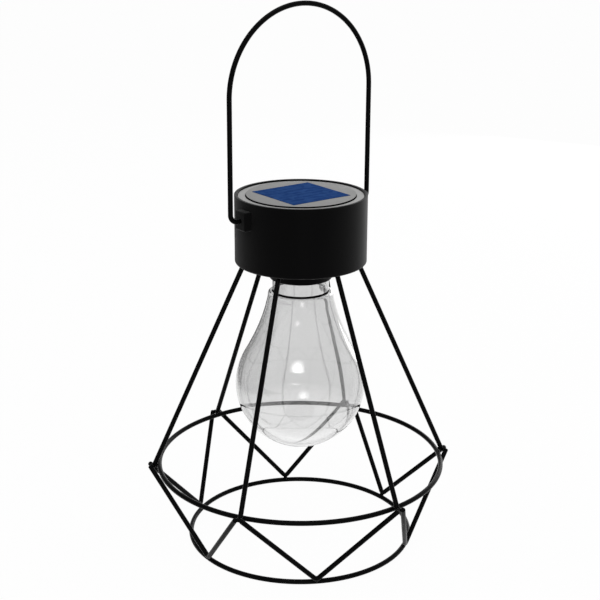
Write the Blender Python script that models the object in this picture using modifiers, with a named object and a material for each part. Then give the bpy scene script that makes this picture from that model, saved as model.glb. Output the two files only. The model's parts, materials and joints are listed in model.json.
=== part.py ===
"""Solar garden light: a wire cage, a drum with a solar unit, a clear bulb and a swinging bail.

Metres, +Z up. The origin is on the lantern's axis at the floor, and X runs along the bail's pivots.
"""

import math

import bpy
from mathutils import Vector

MM = 0.001

# Fits
FIT_GAP = 0.3 * MM  # between pieces that touch
NECK_PLAY = 0.4 * MM  # radial, bulb's neck in the drum's collar and its spigot in the socket
PIVOT_PLAY = 0.3 * MM  # radial, bail hook in its lug
COVER_GAP = 0.4 * MM  # radial, top cover in the drum's mouth

# Wire cage
WIRE = 3.0 * MM
STRUT_COUNT = 6
CAGE_TURN = math.radians(-28.85)  # first strut, from the bail's pivot axis
BASE_RING_RADIUS = 70.0 * MM
WAIST_RING_RADIUS = 89.1 * MM
WAIST_HEIGHT = 50.35 * MM
STRUT_INSET = 5.6 * MM  # from the drum's wall to a strut's centre, at the drum's underside
STRUT_TOP_STAND = 2.0 * MM  # strut end above the drum's floor, inside
STRUT_FOOT_DROP = 2.5 * MM  # strut end past its touch with the waist ring
V_END_DROP = 1.3 * MM  # V wire's end below that touch
V_END_GAP = 0.15 * MM  # from the strut's plane to a V wire's end
V_SEAT_ANGLE = math.radians(60)  # where a V wire's bend sits round the base ring's section
V_BEND_RADIUS = 2.0 * MM

# Drum
DRUM_RADIUS = 40.0 * MM
DRUM_BOTTOM = 180.9 * MM
DRUM_HEIGHT = 41.95 * MM
DRUM_WALL = 1.9 * MM
DRUM_FLOOR = 2.0 * MM
DRUM_FILLET = 1.4 * MM
COLLAR_DROP = 9.9 * MM  # collar round the bulb's neck, below the drum
COLLAR_WALL = 1.4 * MM

# Lugs and bail
LUG_PROJECTION = 4.4 * MM
LUG_ROOT = 1.0 * MM  # how far a lug runs into the drum's wall
LUG_WIDTH = 10.4 * MM
LUG_HEIGHT = 11.4 * MM
LUG_EDGE = 1.0 * MM
PIVOT_DROP = 10.4 * MM  # pivot axis below the drum's top
LUG_BORE_DEPTH = 5.3 * MM
HOOK_END_GAP = 0.5 * MM
BAIL_LEG_GAP = 4.95 * MM  # from a lug's face to the bail's leg
BAIL_LEG = 70.85 * MM  # pivot to the start of the arch
BAIL_HOOK_RADIUS = 4.6 * MM
BAIL_LEAN = math.radians(0.15)

# Solar unit
COVER_RECESS = 0.9 * MM  # cover's rim below the drum's top
COVER_THICKNESS = 3.6 * MM
COVER_DISC_RADIUS = 33.0 * MM
COVER_DISC_RISE = 0.9 * MM
CELL_SIDE = 41.8 * MM
CELL_THICKNESS = 1.2 * MM
CELL_PROUD = 0.2 * MM
CASE_MARGIN = 4.0 * MM  # between the drum's wall and the case
CASE_WALL = 1.6 * MM
SEAL_THICKNESS = 0.8 * MM
POST_RADIUS = 3.2 * MM
POST_GAP = 1.0 * MM
POST_COUNT = 3
POST_TURN = math.radians(2)
BOARD_RADIUS = 24.0 * MM
BOARD_THICKNESS = 1.6 * MM
CHIP_SIZE = Vector((5.0, 4.0, 2.0)) * MM
CHOKE_RADIUS = 1.6 * MM
CHOKE_LENGTH = 8.0 * MM
PART_SPACING = 9.0 * MM  # chip and choke, from the board's centre line
PART_GAP = 2.0 * MM  # chip and choke, from the battery holder

# LED, a 5 mm round one
LED_RADIUS = 2.5 * MM
LED_FLANGE_RADIUS = 2.9 * MM
LED_FLANGE = 1.0 * MM
LED_LENGTH = 8.6 * MM
LED_HOLE_GAP = 0.6 * MM

# Battery, an AAA cell, and its holder
BATTERY_RADIUS = 5.25 * MM
BATTERY_LENGTH = 43.3 * MM
BATTERY_NUB_RADIUS = 1.9 * MM
BATTERY_NUB = 1.2 * MM
PLATE_THICKNESS = 0.5 * MM
PLATE_SIDE = 7.0 * MM
SPRING_LENGTH = 4.8 * MM
SPRING_RADIUS = 2.4 * MM
SPRING_WIRE = 0.7 * MM
SPRING_TURNS = 3
HOLDER_WALL = 1.2 * MM
HOLDER_FLOOR = 1.5 * MM
HOLDER_HEIGHT = 8.0 * MM

# Switch
SWITCH_SIZE = Vector((11.0, 5.6, 5.4)) * MM
SWITCH_GAP = 1.2 * MM  # between the socket's flange and the switch
STEM_SIZE = Vector((3.0, 2.6, 1.8)) * MM  # the last is its reach into the switch
KNOB_WIDTH = 4.4 * MM
KNOB_HEIGHT = 2.0 * MM
SWITCH_TRAVEL = 3.0 * MM

# Bulb and socket
NECK_RADIUS = 17.2 * MM  # what shows below the collar
SPIGOT_RADIUS = 15.2 * MM  # narrower end, with the bayonet's tabs
SPIGOT_LIFT = 3.0 * MM  # spigot's start above the collar's mouth
BULB_WALL = 1.3 * MM
BULB_PROUD = 0.24 * MM  # bulb's widest place outside the drum's outline
BULB_CENTRE_DROP = 78.9 * MM  # bulb's widest place below the drum
BULB_ROUND_ANGLE = math.radians(30.3)  # where the round body passes into the upper slope
LEDGE_DROP = 18.7 * MM  # ledge below the drum
LEDGE_RADIUS = 19.86 * MM
LEDGE_EDGE = 0.2 * MM
SLOPE_DROP = 20.26 * MM  # top of the upper slope below the drum
SLOPE_LEAN = math.radians(10.1)  # upper slope at its top, from upright
SOCKET_WALL = 3.5 * MM
SOCKET_HEIGHT = 11.0 * MM
SOCKET_FLANGE = 2.4 * MM
SOCKET_FLANGE_THICKNESS = 1.6 * MM
GROOVE_DEPTH = 1.9 * MM
GROOVE_HEIGHT = 3.0 * MM
GROOVE_DROP = 3.6 * MM  # groove's top below the socket's top
TAB_REACH = 1.5 * MM
TAB_WIDTH = 5.0 * MM
TAB_GAP = 0.4 * MM  # tab in its groove, above and below
BAYONET_TURN = math.radians(40)  # from the locked place to the entry notches
NECK_END_GAP = 1.0 * MM  # bulb's mouth below the socket's top
CASE_LIFT = 2.0 * MM  # case above the socket

# Screws and leads
SCREW_RADIUS = 1.3 * MM
SCREW_HEAD_RADIUS = 2.8 * MM
SCREW_HEAD = 1.8 * MM
SCREW_REACH = 9.0 * MM
LEAD = 1.2 * MM
LEAD_HOLE_GAP = 0.5 * MM
LEAD_SPREAD = 10.0 * MM  # solar leads, from the middle
LEAD_PITCH = 3.6 * MM  # battery leads past the solar leads, on the board
LEAD_SWAY = 2.0 * MM
SWITCH_LEAD_SPREAD = 2.5 * MM

# Cutters
CUT_PAST = 4.0 * MM  # how far a cutter runs past its wall, on either side

# Facets
RING_SEGMENTS = 60
RING_SIDES = 10
WIRE_ROUNDING = 2
LEAD_ROUNDING = 1
DRUM_STEPS = 60
BULB_STEPS = 36
SMALL_STEPS = 24
FINE_STEPS = 16
BEND_STEPS = 6
FILLET_STEPS = 3
EDGE_STEPS = 2
LEAD_STEPS = 3
SPRING_STEPS = 12
ARCH_STEPS = 28
BULB_OUTER_STEPS = 12
BULB_INNER_STEPS = 8
SHARP_ANGLE = math.radians(40)
MERGE = 0.01 * MM

# Heights and radii that follow
DRUM_TOP = DRUM_BOTTOM + DRUM_HEIGHT
FLOOR_TOP = DRUM_BOTTOM + DRUM_FLOOR
DRUM_INNER = DRUM_RADIUS - DRUM_WALL
PIVOT_HEIGHT = DRUM_TOP - PIVOT_DROP
LUG_FACE = DRUM_RADIUS + LUG_PROJECTION
COLLAR_BOTTOM = DRUM_BOTTOM - COLLAR_DROP
COLLAR_BORE = NECK_RADIUS + NECK_PLAY
SPIGOT_BOTTOM = COLLAR_BOTTOM + SPIGOT_LIFT
BULB_RADIUS = DRUM_RADIUS + BULB_PROUD
BAIL_HALF_WIDTH = LUG_FACE + BAIL_LEG_GAP + WIRE / 2
COVER_RIM = DRUM_TOP - COVER_RECESS
COVER_UNDER = COVER_RIM - COVER_THICKNESS
COVER_DISC_TOP = COVER_RIM + COVER_DISC_RISE
CELL_TOP = COVER_DISC_TOP + CELL_PROUD
CELL_UNDER = CELL_TOP - CELL_THICKNESS
CELL_SEAT = CELL_UNDER - FIT_GAP
SOCKET_BOTTOM = FLOOR_TOP + FIT_GAP
SOCKET_TOP = SOCKET_BOTTOM + SOCKET_HEIGHT
SOCKET_BORE = SPIGOT_RADIUS + NECK_PLAY
SOCKET_OUTER = SOCKET_BORE + SOCKET_WALL
FLANGE_RADIUS = SOCKET_OUTER + SOCKET_FLANGE
GROOVE_TOP = SOCKET_TOP - GROOVE_DROP
NECK_TOP = SOCKET_TOP - NECK_END_GAP
CASE_BOTTOM = SOCKET_TOP + CASE_LIFT
CASE_FLOOR = CASE_BOTTOM + CASE_WALL
CASE_RADIUS = DRUM_INNER - CASE_MARGIN
CASE_TOP = COVER_UNDER - SEAL_THICKNESS - 2 * FIT_GAP
POST_CIRCLE = FLANGE_RADIUS + POST_GAP + POST_RADIUS
BOARD_UNDER = CASE_FLOOR + FIT_GAP
BOARD_TOP = BOARD_UNDER + BOARD_THICKNESS
HOLDER_BOTTOM = BOARD_TOP + FIT_GAP
HOLDER_SEAT = HOLDER_BOTTOM + HOLDER_FLOOR
BATTERY_AXIS = HOLDER_SEAT + FIT_GAP + BATTERY_RADIUS
HOLDER_INSIDE = PLATE_THICKNESS + BATTERY_NUB + BATTERY_LENGTH + SPRING_LENGTH + 4 * FIT_GAP
HOLDER_END = HOLDER_INSIDE / 2
HOLDER_HALF_WIDTH = BATTERY_RADIUS + FIT_GAP + HOLDER_WALL
PLATE_X = HOLDER_END - FIT_GAP - PLATE_THICKNESS / 2
BATTERY_END = PLATE_X - PLATE_THICKNESS / 2 - FIT_GAP
SPRING_SEAT = -HOLDER_END + FIT_GAP
SWITCH_Y = -(FLANGE_RADIUS + SWITCH_GAP + SWITCH_SIZE.y / 2)
SWITCH_BOTTOM = FLOOR_TOP + FIT_GAP
SWITCH_TOP = SWITCH_BOTTOM + SWITCH_SIZE.z
STEM_X = -SWITCH_TRAVEL / 2
SCREW_HOLE = SCREW_RADIUS + FIT_GAP
LEAD_HOLE = LEAD / 2 + LEAD_HOLE_GAP
LEAD_ROW = HOLDER_HALF_WIDTH + PART_GAP + LEAD
BASE_HEIGHT = WIRE / 2 * math.cos(math.pi / RING_SIDES)
STRUT_ANGLES = [CAGE_TURN + 2 * math.pi * i / STRUT_COUNT for i in range(STRUT_COUNT)]
POST_ANGLES = [POST_TURN + 2 * math.pi * i / POST_COUNT for i in range(POST_COUNT)]


def clear_scene():
    for old in list(bpy.data.objects):
        bpy.data.objects.remove(old, do_unlink=True)


def new_collection(name):
    collection = bpy.data.collections.new(name)
    bpy.context.scene.collection.children.link(collection)
    return collection


def new_material(name, colour, roughness, metallic=0.0, alpha=1.0):
    material = bpy.data.materials.new(name)
    material.use_nodes = True
    shader = material.node_tree.nodes["Principled BSDF"]
    shader.inputs["Base Color"].default_value = (*colour, 1.0)
    shader.inputs["Roughness"].default_value = roughness
    shader.inputs["Metallic"].default_value = metallic
    shader.inputs["Alpha"].default_value = alpha
    return material


def around(radius, angle, height):
    return Vector((radius * math.cos(angle), radius * math.sin(angle), height))


def place(obj, collection, material=None):
    for old in list(obj.users_collection):
        old.objects.unlink(obj)
    collection.objects.link(obj)
    if material:
        obj.data.materials.append(material)
    return obj


def as_cutter(obj):
    place(obj, cutters)
    obj.hide_render = True
    obj.display_type = "WIRE"
    return obj


def boolean(obj, other, operation):
    modifier = obj.modifiers.new(f"{operation.title()} {other.name}", "BOOLEAN")
    modifier.operation = operation
    modifier.solver = "EXACT"
    modifier.object = other


def turned(name, profile, steps, loop=True):
    """Turns (radius, height) points about Z. They run down the outer side, and a loop is closed on itself."""
    mesh = bpy.data.meshes.new(name)
    edges = [(i, i + 1) for i in range(len(profile) - 1)]
    if loop:
        edges.append((len(profile) - 1, 0))
    mesh.from_pydata([(radius, 0, height) for radius, height in profile], edges, [])
    obj = bpy.data.objects.new(name, mesh)
    screw = obj.modifiers.new("Turn", "SCREW")
    screw.steps = screw.render_steps = steps
    screw.use_merge_vertices = True
    screw.merge_threshold = MERGE
    screw.use_smooth_shade = True
    return obj


def block(name, size, centre, edge=0.0):
    bpy.ops.mesh.primitive_cube_add(size=1, location=centre)
    obj = bpy.context.object
    obj.name = obj.data.name = name
    obj.scale = size
    bpy.ops.object.transform_apply(location=False, rotation=False, scale=True)
    if edge:
        bevel = obj.modifiers.new("Rounded edges", "BEVEL")
        bevel.width = edge
        bevel.segments = EDGE_STEPS
    return obj


def rod(name, radius, depth, centre, axis, sides=SMALL_STEPS):
    bpy.ops.mesh.primitive_cylinder_add(vertices=sides, radius=radius, depth=depth, location=centre)
    obj = bpy.context.object
    obj.name = obj.data.name = name
    obj.rotation_euler = Vector(axis).to_track_quat("Z", "Y").to_euler()
    obj.data.shade_smooth()
    obj.data.set_sharp_from_angle(angle=SHARP_ANGLE)
    return obj


def tube(name, points, diameter, rounding=WIRE_ROUNDING):
    curve = bpy.data.curves.new(name, "CURVE")
    curve.dimensions = "3D"
    curve.bevel_depth = diameter / 2
    curve.bevel_resolution = rounding
    curve.use_fill_caps = True
    spline = curve.splines.new("POLY")
    spline.points.add(len(points) - 1)
    for control, point in zip(spline.points, points):
        control.co = (*point, 1.0)
    return bpy.data.objects.new(name, curve)


def smooth_route(points, steps=LEAD_STEPS):
    """Points along a smooth curve through the given ones."""
    ends = [2 * points[0] - points[1], *points, 2 * points[-1] - points[-2]]
    route = []
    for before, start, end, after in zip(ends, ends[1:], ends[2:], ends[3:]):
        for step in range(steps):
            t = step / steps
            bend = 2 * before - 5 * start + 4 * end - after
            twist = 3 * start - before - 3 * end + after
            route.append(start + 0.5 * t * ((end - before) + t * (bend + t * twist)))
    return [*route, points[-1]]


def arc(centre, radius, start, end, steps):
    """Points (radius, height) of an arc in a profile's plane."""
    angles = [start + (end - start) * step / steps for step in range(steps + 1)]
    return [(centre[0] + radius * math.cos(a), centre[1] + radius * math.sin(a)) for a in angles]


# Wire cage


def wire_ring(name, radius, height):
    bpy.ops.mesh.primitive_torus_add(
        major_radius=radius,
        minor_radius=WIRE / 2,
        major_segments=RING_SEGMENTS,
        minor_segments=RING_SIDES,
        location=(0, 0, height),
    )
    ring = bpy.context.object
    ring.name = ring.data.name = name
    ring.data.shade_smooth()
    return ring


def strut_line():
    """Top (radius, height), slope from the vertical, and length down to where it touches the waist ring."""
    top = (DRUM_RADIUS - STRUT_INSET, DRUM_BOTTOM)
    out = WAIST_RING_RADIUS - top[0]
    down = top[1] - WAIST_HEIGHT
    apart = WIRE + FIT_GAP
    span = math.hypot(out, down)
    slope = math.atan2(out, down) + math.asin(apart / span)
    return top, slope, math.sqrt(span**2 - apart**2)


def strut_point(angle, along):
    top, slope, _ = strut_line()
    return around(top[0] + along * math.sin(slope), angle, top[1] - along * math.cos(slope))


def strut_ends(angle):
    _, slope, touch = strut_line()
    inside = (DRUM_FLOOR + STRUT_TOP_STAND) / math.cos(slope)
    return strut_point(angle, -inside), strut_point(angle, touch + STRUT_FOOT_DROP)


def v_wire_end(angle, side):
    """A V wire's end, outside the strut's foot. side is 1 or -1, along the ring."""
    _, slope, touch = strut_line()
    spread = WIRE / 2 + V_END_GAP
    stand = math.sqrt((WIRE + FIT_GAP) ** 2 - spread**2)
    outward = around(math.cos(slope), angle, math.sin(slope))
    along_ring = around(1, angle + math.pi / 2, 0)
    return strut_point(angle, touch + V_END_DROP) + stand * outward + side * spread * along_ring


def v_wire_route(angle):
    """From the strut at this angle down to the base ring, round the bend there, and up to the next strut."""
    pitch = 2 * math.pi / STRUT_COUNT
    middle = angle + pitch / 2
    first, last = v_wire_end(angle, 1), v_wire_end(angle + pitch, -1)
    seat = around(
        BASE_RING_RADIUS + (WIRE + FIT_GAP) * math.cos(V_SEAT_ANGLE),
        middle,
        BASE_HEIGHT + (WIRE + FIT_GAP) * math.sin(V_SEAT_ANGLE),
    )
    rise = ((first + last) / 2 - seat).normalized()
    across = (last - first).normalized()
    centre = seat + V_BEND_RADIUS * rise
    reach = last - centre
    lift = math.atan2(reach.dot(rise), reach.dot(across))
    turn = lift + math.asin(V_BEND_RADIUS / reach.length)
    angles = [turn * (2 * step / BEND_STEPS - 1) for step in range(BEND_STEPS + 1)]
    bend = [centre + V_BEND_RADIUS * (math.sin(a) * across - math.cos(a) * rise) for a in angles]
    return [first, *bend, last]


def make_cage():
    place(wire_ring("base_ring", BASE_RING_RADIUS, BASE_HEIGHT), parts, black_wire)
    place(wire_ring("waist_ring", WAIST_RING_RADIUS, WAIST_HEIGHT), parts, black_wire)
    for number, angle in enumerate(STRUT_ANGLES, 1):
        place(tube(f"cage_strut_{number}", strut_ends(angle), WIRE), parts, black_wire)
        place(tube(f"lower_v_wire_{number}", v_wire_route(angle), WIRE), parts, black_wire)


# Drum and bail


def make_drum():
    inner_fillet = max(DRUM_FILLET - DRUM_WALL, FIT_GAP)
    collar = COLLAR_BORE + COLLAR_WALL
    quarter = math.pi / 2
    outer_corner = (DRUM_RADIUS - DRUM_FILLET, DRUM_BOTTOM + DRUM_FILLET)
    inner_corner = (DRUM_INNER - inner_fillet, FLOOR_TOP + inner_fillet)
    profile = [
        (DRUM_RADIUS, DRUM_TOP),
        *arc(outer_corner, DRUM_FILLET, 0, -quarter, BEND_STEPS),
        (collar, DRUM_BOTTOM),
        (collar, COLLAR_BOTTOM),
        (COLLAR_BORE, COLLAR_BOTTOM),
        (COLLAR_BORE, FLOOR_TOP),
        *arc(inner_corner, inner_fillet, -quarter, 0, FILLET_STEPS),
        (DRUM_INNER, DRUM_TOP),
    ]
    drum = place(turned("housing_drum", profile, DRUM_STEPS), parts, black_plastic)
    lug_depth = LUG_PROJECTION + LUG_ROOT
    for side in (-1, 1):
        centre = (side * (LUG_FACE - lug_depth / 2), 0, PIVOT_HEIGHT)
        lug = block(f"lug_form_{side}", (lug_depth, LUG_WIDTH, LUG_HEIGHT), centre, LUG_EDGE)
        boolean(drum, as_cutter(lug), "UNION")
        mouth = (side * LUG_FACE, 0, PIVOT_HEIGHT)
        bore = rod(f"lug_bore_{side}", WIRE / 2 + PIVOT_PLAY, 2 * LUG_BORE_DEPTH, mouth, (1, 0, 0))
        boolean(drum, as_cutter(bore), "DIFFERENCE")
    _, slope, _ = strut_line()
    through = DRUM_FLOOR + 2 * CUT_PAST
    for number, angle in enumerate(STRUT_ANGLES, 1):
        down = around(math.sin(slope), angle, -math.cos(slope))
        hole = rod(f"strut_hole_{number}", WIRE / 2 + FIT_GAP, through, strut_point(angle, 0), down)
        boolean(drum, as_cutter(hole), "DIFFERENCE")
    for number, angle in enumerate(POST_ANGLES, 1):
        centre = around(POST_CIRCLE, angle, FLOOR_TOP)
        hole = rod(f"floor_screw_hole_{number}", SCREW_HOLE, through, centre, (0, 0, 1))
        boolean(drum, as_cutter(hole), "DIFFERENCE")
    slot = block("switch_slot", (*slot_size(), through), (0, SWITCH_Y, FLOOR_TOP))
    boolean(drum, as_cutter(slot), "DIFFERENCE")


def make_bail():
    """One wire from hook to hook, about its pivot axis."""
    hook_end = LUG_FACE - LUG_BORE_DEPTH + HOOK_END_GAP
    corner = (BAIL_HALF_WIDTH - BAIL_HOOK_RADIUS, BAIL_HOOK_RADIUS)
    hook = [(hook_end, 0), *arc(corner, BAIL_HOOK_RADIUS, -math.pi / 2, 0, BEND_STEPS)]
    arch = arc((0, BAIL_LEG), BAIL_HALF_WIDTH, 0, math.pi, ARCH_STEPS)
    route = [*hook, *arch, *[(-x, z) for x, z in reversed(hook)]]
    bail = tube("bail_handle", [Vector((x, 0, z)) for x, z in route], WIRE)
    bail.location = (0, 0, PIVOT_HEIGHT)
    bail.rotation_euler = (BAIL_LEAN, 0, 0)
    place(bail, parts, black_wire)


# Solar unit


def make_cover():
    radius = DRUM_INNER - COVER_GAP
    profile = [
        (0, COVER_DISC_TOP),
        (COVER_DISC_RADIUS, COVER_DISC_TOP),
        (COVER_DISC_RADIUS, COVER_RIM),
        (radius, COVER_RIM),
        (radius, COVER_UNDER),
        (0, COVER_UNDER),
    ]
    cover = place(turned("top_cover", profile, DRUM_STEPS, loop=False), parts, grey_plastic)
    side = CELL_SIDE + 2 * FIT_GAP
    depth = COVER_DISC_TOP - CELL_SEAT
    recess = block("cell_recess", (side, side, 2 * depth), (0, 0, COVER_DISC_TOP))
    boolean(cover, as_cutter(recess), "DIFFERENCE")
    through = 2 * (COVER_THICKNESS + CUT_PAST)
    for side in (-1, 1):
        hole = rod(f"solar_lead_hole_{side}", LEAD_HOLE, through, solar_lead_top(side), (0, 0, 1), FINE_STEPS)
        boolean(cover, as_cutter(hole), "DIFFERENCE")


def make_cell():
    centre = (0, 0, (CELL_TOP + CELL_UNDER) / 2)
    place(block("solar_cell", (CELL_SIDE, CELL_SIDE, CELL_THICKNESS), centre), parts, cell_blue)


def make_case():
    inner = CASE_RADIUS - CASE_WALL
    hole = LED_FLANGE_RADIUS + LED_HOLE_GAP
    profile = [
        (CASE_RADIUS, CASE_TOP),
        (CASE_RADIUS, CASE_BOTTOM),
        (hole, CASE_BOTTOM),
        (hole, CASE_FLOOR),
        (inner, CASE_FLOOR),
        (inner, CASE_TOP),
    ]
    case = place(turned("unit_case", profile, DRUM_STEPS // 2), parts, dark_plastic)
    foot = FLOOR_TOP + FIT_GAP
    for number, angle in enumerate(POST_ANGLES, 1):
        height = CASE_BOTTOM + CASE_WALL / 2 - foot
        centre = around(POST_CIRCLE, angle, foot + height / 2)
        post = rod(f"post_form_{number}", POST_RADIUS, height, centre, (0, 0, 1))
        boolean(case, as_cutter(post), "UNION")
        depth = SCREW_REACH + FIT_GAP
        mouth = around(POST_CIRCLE, angle, foot)
        pilot = rod(f"post_pilot_{number}", SCREW_HOLE, 2 * depth, mouth, (0, 0, 1), FINE_STEPS)
        boolean(case, as_cutter(pilot), "DIFFERENCE")
    for side in (-1, 1):
        centre = switch_lead_points(side)[-1]
        through = 2 * (CASE_WALL + CUT_PAST)
        hole = rod(f"switch_lead_hole_{side}", LEAD_HOLE, through, centre, (0, 0, 1), FINE_STEPS)
        boolean(case, as_cutter(hole), "DIFFERENCE")
    seal_bottom = CASE_TOP + FIT_GAP
    seal_top = seal_bottom + SEAL_THICKNESS
    ring = [(CASE_RADIUS, seal_top), (CASE_RADIUS, seal_bottom), (inner, seal_bottom), (inner, seal_top)]
    place(turned("cover_seal", ring, DRUM_STEPS // 2), parts, seal_rubber)


def make_unit_screws():
    head_top = DRUM_BOTTOM - FIT_GAP
    head = head_top - SCREW_HEAD
    tip = FLOOR_TOP + SCREW_REACH
    edge = SCREW_HEAD / 2
    profile = [
        (0, tip),
        (SCREW_RADIUS, tip - SCREW_RADIUS),
        (SCREW_RADIUS, head_top),
        (SCREW_HEAD_RADIUS, head_top),
        (SCREW_HEAD_RADIUS, head + edge),
        (SCREW_HEAD_RADIUS - edge, head),
        (0, head),
    ]
    for number, angle in enumerate(POST_ANGLES, 1):
        screw = turned(f"unit_screw_{number}", profile, FINE_STEPS, loop=False)
        screw.location = around(POST_CIRCLE, angle, 0)
        place(screw, parts, steel)


# Electronics


def make_board():
    middle = (BOARD_UNDER + BOARD_TOP) / 2
    board = rod("circuit_board", BOARD_RADIUS, BOARD_THICKNESS, (0, 0, middle), (0, 0, 1), SMALL_STEPS)
    place(board, parts, board_green)
    beside = -(HOLDER_HALF_WIDTH + PART_GAP)
    chip_centre = (PART_SPACING, beside - CHIP_SIZE.y / 2, BOARD_TOP + FIT_GAP + CHIP_SIZE.z / 2)
    place(block("controller_chip", CHIP_SIZE, chip_centre), parts, dark_plastic)
    choke_centre = (-PART_SPACING, beside - CHOKE_RADIUS, BOARD_TOP + FIT_GAP + CHOKE_RADIUS)
    choke = rod("choke_coil", CHOKE_RADIUS, CHOKE_LENGTH, choke_centre, (1, 0, 0), FINE_STEPS)
    place(choke, parts, choke_green)


def make_led():
    top = BOARD_UNDER - FIT_GAP
    dome = top - LED_LENGTH + LED_RADIUS
    profile = [
        (0, top),
        (LED_FLANGE_RADIUS, top),
        (LED_FLANGE_RADIUS, top - LED_FLANGE),
        (LED_RADIUS, top - LED_FLANGE),
        *arc((0, dome), LED_RADIUS, 0, -math.pi / 2, BEND_STEPS)[:-1],
        (0, dome - LED_RADIUS),
    ]
    place(turned("led", profile, FINE_STEPS, loop=False), parts, led_clear)


def make_battery():
    tray = (HOLDER_INSIDE + 2 * HOLDER_WALL, 2 * HOLDER_HALF_WIDTH, HOLDER_HEIGHT)
    holder = block("battery_holder", tray, (0, 0, HOLDER_BOTTOM + HOLDER_HEIGHT / 2))
    place(holder, parts, dark_plastic)
    inside = (HOLDER_INSIDE, 2 * (HOLDER_HALF_WIDTH - HOLDER_WALL), 2 * (HOLDER_HEIGHT - HOLDER_FLOOR))
    well = block("holder_well", inside, (0, 0, HOLDER_BOTTOM + HOLDER_HEIGHT))
    boolean(holder, as_cutter(well), "DIFFERENCE")
    profile = [
        (0, BATTERY_NUB),
        (BATTERY_NUB_RADIUS, BATTERY_NUB),
        (BATTERY_NUB_RADIUS, 0),
        (BATTERY_RADIUS, 0),
        (BATTERY_RADIUS, -BATTERY_LENGTH),
        (0, -BATTERY_LENGTH),
    ]
    battery = turned("rechargeable_battery", profile, SMALL_STEPS, loop=False)
    battery.location = (BATTERY_END - BATTERY_NUB, 0, BATTERY_AXIS)
    battery.rotation_euler = (0, math.pi / 2, 0)
    place(battery, parts, battery_wrap)
    plate = block("battery_plate", (PLATE_THICKNESS, PLATE_SIDE, PLATE_SIDE), (PLATE_X, 0, BATTERY_AXIS))
    place(plate, parts, steel)
    steps = SPRING_STEPS * SPRING_TURNS
    coil = []
    for step in range(steps + 1):
        angle = 2 * math.pi * SPRING_TURNS * step / steps
        along = SPRING_SEAT + SPRING_WIRE / 2 + (SPRING_LENGTH - SPRING_WIRE) * step / steps
        height = BATTERY_AXIS + SPRING_RADIUS * math.cos(angle)
        coil.append(Vector((along, SPRING_RADIUS * math.sin(angle), height)))
    place(tube("battery_spring", coil, SPRING_WIRE, LEAD_ROUNDING), parts, steel)


def slot_size():
    """Length and width of the slot that the switch's stem slides in."""
    return STEM_SIZE.x + SWITCH_TRAVEL + 2 * FIT_GAP, STEM_SIZE.y + 2 * FIT_GAP


def make_switch():
    centre = (0, SWITCH_Y, (SWITCH_BOTTOM + SWITCH_TOP) / 2)
    body = place(block("switch_body", SWITCH_SIZE, centre), parts, dark_plastic)
    pocket = block("switch_pocket", (*slot_size(), 2 * (STEM_SIZE.z + FIT_GAP)), (0, SWITCH_Y, SWITCH_BOTTOM))
    boolean(body, as_cutter(pocket), "DIFFERENCE")
    top = SWITCH_BOTTOM + STEM_SIZE.z
    knob_top = DRUM_BOTTOM - FIT_GAP
    half_stem, half_knob = STEM_SIZE.x / 2, KNOB_WIDTH / 2
    outline = [
        (half_stem, top),
        (-half_stem, top),
        (-half_stem, knob_top),
        (-half_knob, knob_top),
        (-half_knob, knob_top - KNOB_HEIGHT),
        (half_knob, knob_top - KNOB_HEIGHT),
        (half_knob, knob_top),
        (half_stem, knob_top),
    ]
    curve = bpy.data.curves.new("switch_slider", "CURVE")
    curve.dimensions = "2D"
    curve.fill_mode = "BOTH"
    curve.extrude = STEM_SIZE.y / 2
    spline = curve.splines.new("POLY")
    spline.points.add(len(outline) - 1)
    spline.use_cyclic_u = True
    for control, (x, z) in zip(spline.points, outline):
        control.co = (x, z - knob_top, 0, 1)
    slider = bpy.data.objects.new("switch_slider", curve)
    slider.location = (STEM_X, SWITCH_Y, knob_top)
    slider.rotation_euler = (math.pi / 2, 0, 0)
    place(slider, parts, grey_plastic)


# Leads inside the drum


def solar_lead_top(side):
    return Vector((side * LEAD_SPREAD, LEAD_ROW, CELL_SEAT))


def switch_lead_points(side):
    x = side * SWITCH_LEAD_SPREAD
    start = Vector((x, SWITCH_Y, SWITCH_TOP + FIT_GAP))
    end = Vector((x, -BOARD_RADIUS + 2 * LEAD_HOLE + FIT_GAP, BOARD_UNDER - FIT_GAP))
    middle = (start + end) / 2
    return [start, start + Vector((0, 0, LEAD)), middle, end - Vector((0, 0, LEAD)), end]


def battery_lead_points(start, side):
    """From a contact, over the battery's end and down beside the holder to the board."""
    end = Vector((side * (LEAD_SPREAD + LEAD_PITCH), LEAD_ROW, BOARD_TOP + FIT_GAP))
    outer = Vector((side * HOLDER_END, LEAD_ROW / 2, start.z + 2 * LEAD))
    beside = Vector(((outer.x + end.x) / 2, LEAD_ROW, (outer.z + end.z) / 2))
    return [start, start + Vector((0, 0, LEAD)), outer, beside, end + Vector((0, 0, LEAD)), end]


def make_leads():
    for side, colour, wrap in ((1, "red", lead_red), (-1, "black", lead_black)):
        top = solar_lead_top(side)
        bottom = Vector((top.x, top.y, BOARD_TOP + FIT_GAP))
        sway = Vector((0, LEAD_SWAY, 0))
        clear = Vector((top.x, top.y, COVER_UNDER - LEAD))
        points = [top, clear, (clear + bottom) / 2 + sway, bottom + Vector((0, 0, LEAD)), bottom]
        place(tube(f"solar_lead_{colour}", smooth_route(points), LEAD, LEAD_ROUNDING), parts, wrap)
        if side > 0:
            start = Vector((PLATE_X, 0, BATTERY_AXIS + PLATE_SIDE / 2 + FIT_GAP))
        else:
            coil_top = BATTERY_AXIS + SPRING_RADIUS + SPRING_WIRE / 2
            start = Vector((SPRING_SEAT + LEAD / 2, 0, coil_top + FIT_GAP))
        route = smooth_route(battery_lead_points(start, side))
        place(tube(f"battery_lead_{colour}", route, LEAD, LEAD_ROUNDING), parts, wrap)
        route = smooth_route(switch_lead_points(side))
        place(tube(f"switch_lead_{colour}", route, LEAD, LEAD_ROUNDING), parts, wrap)


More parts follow.
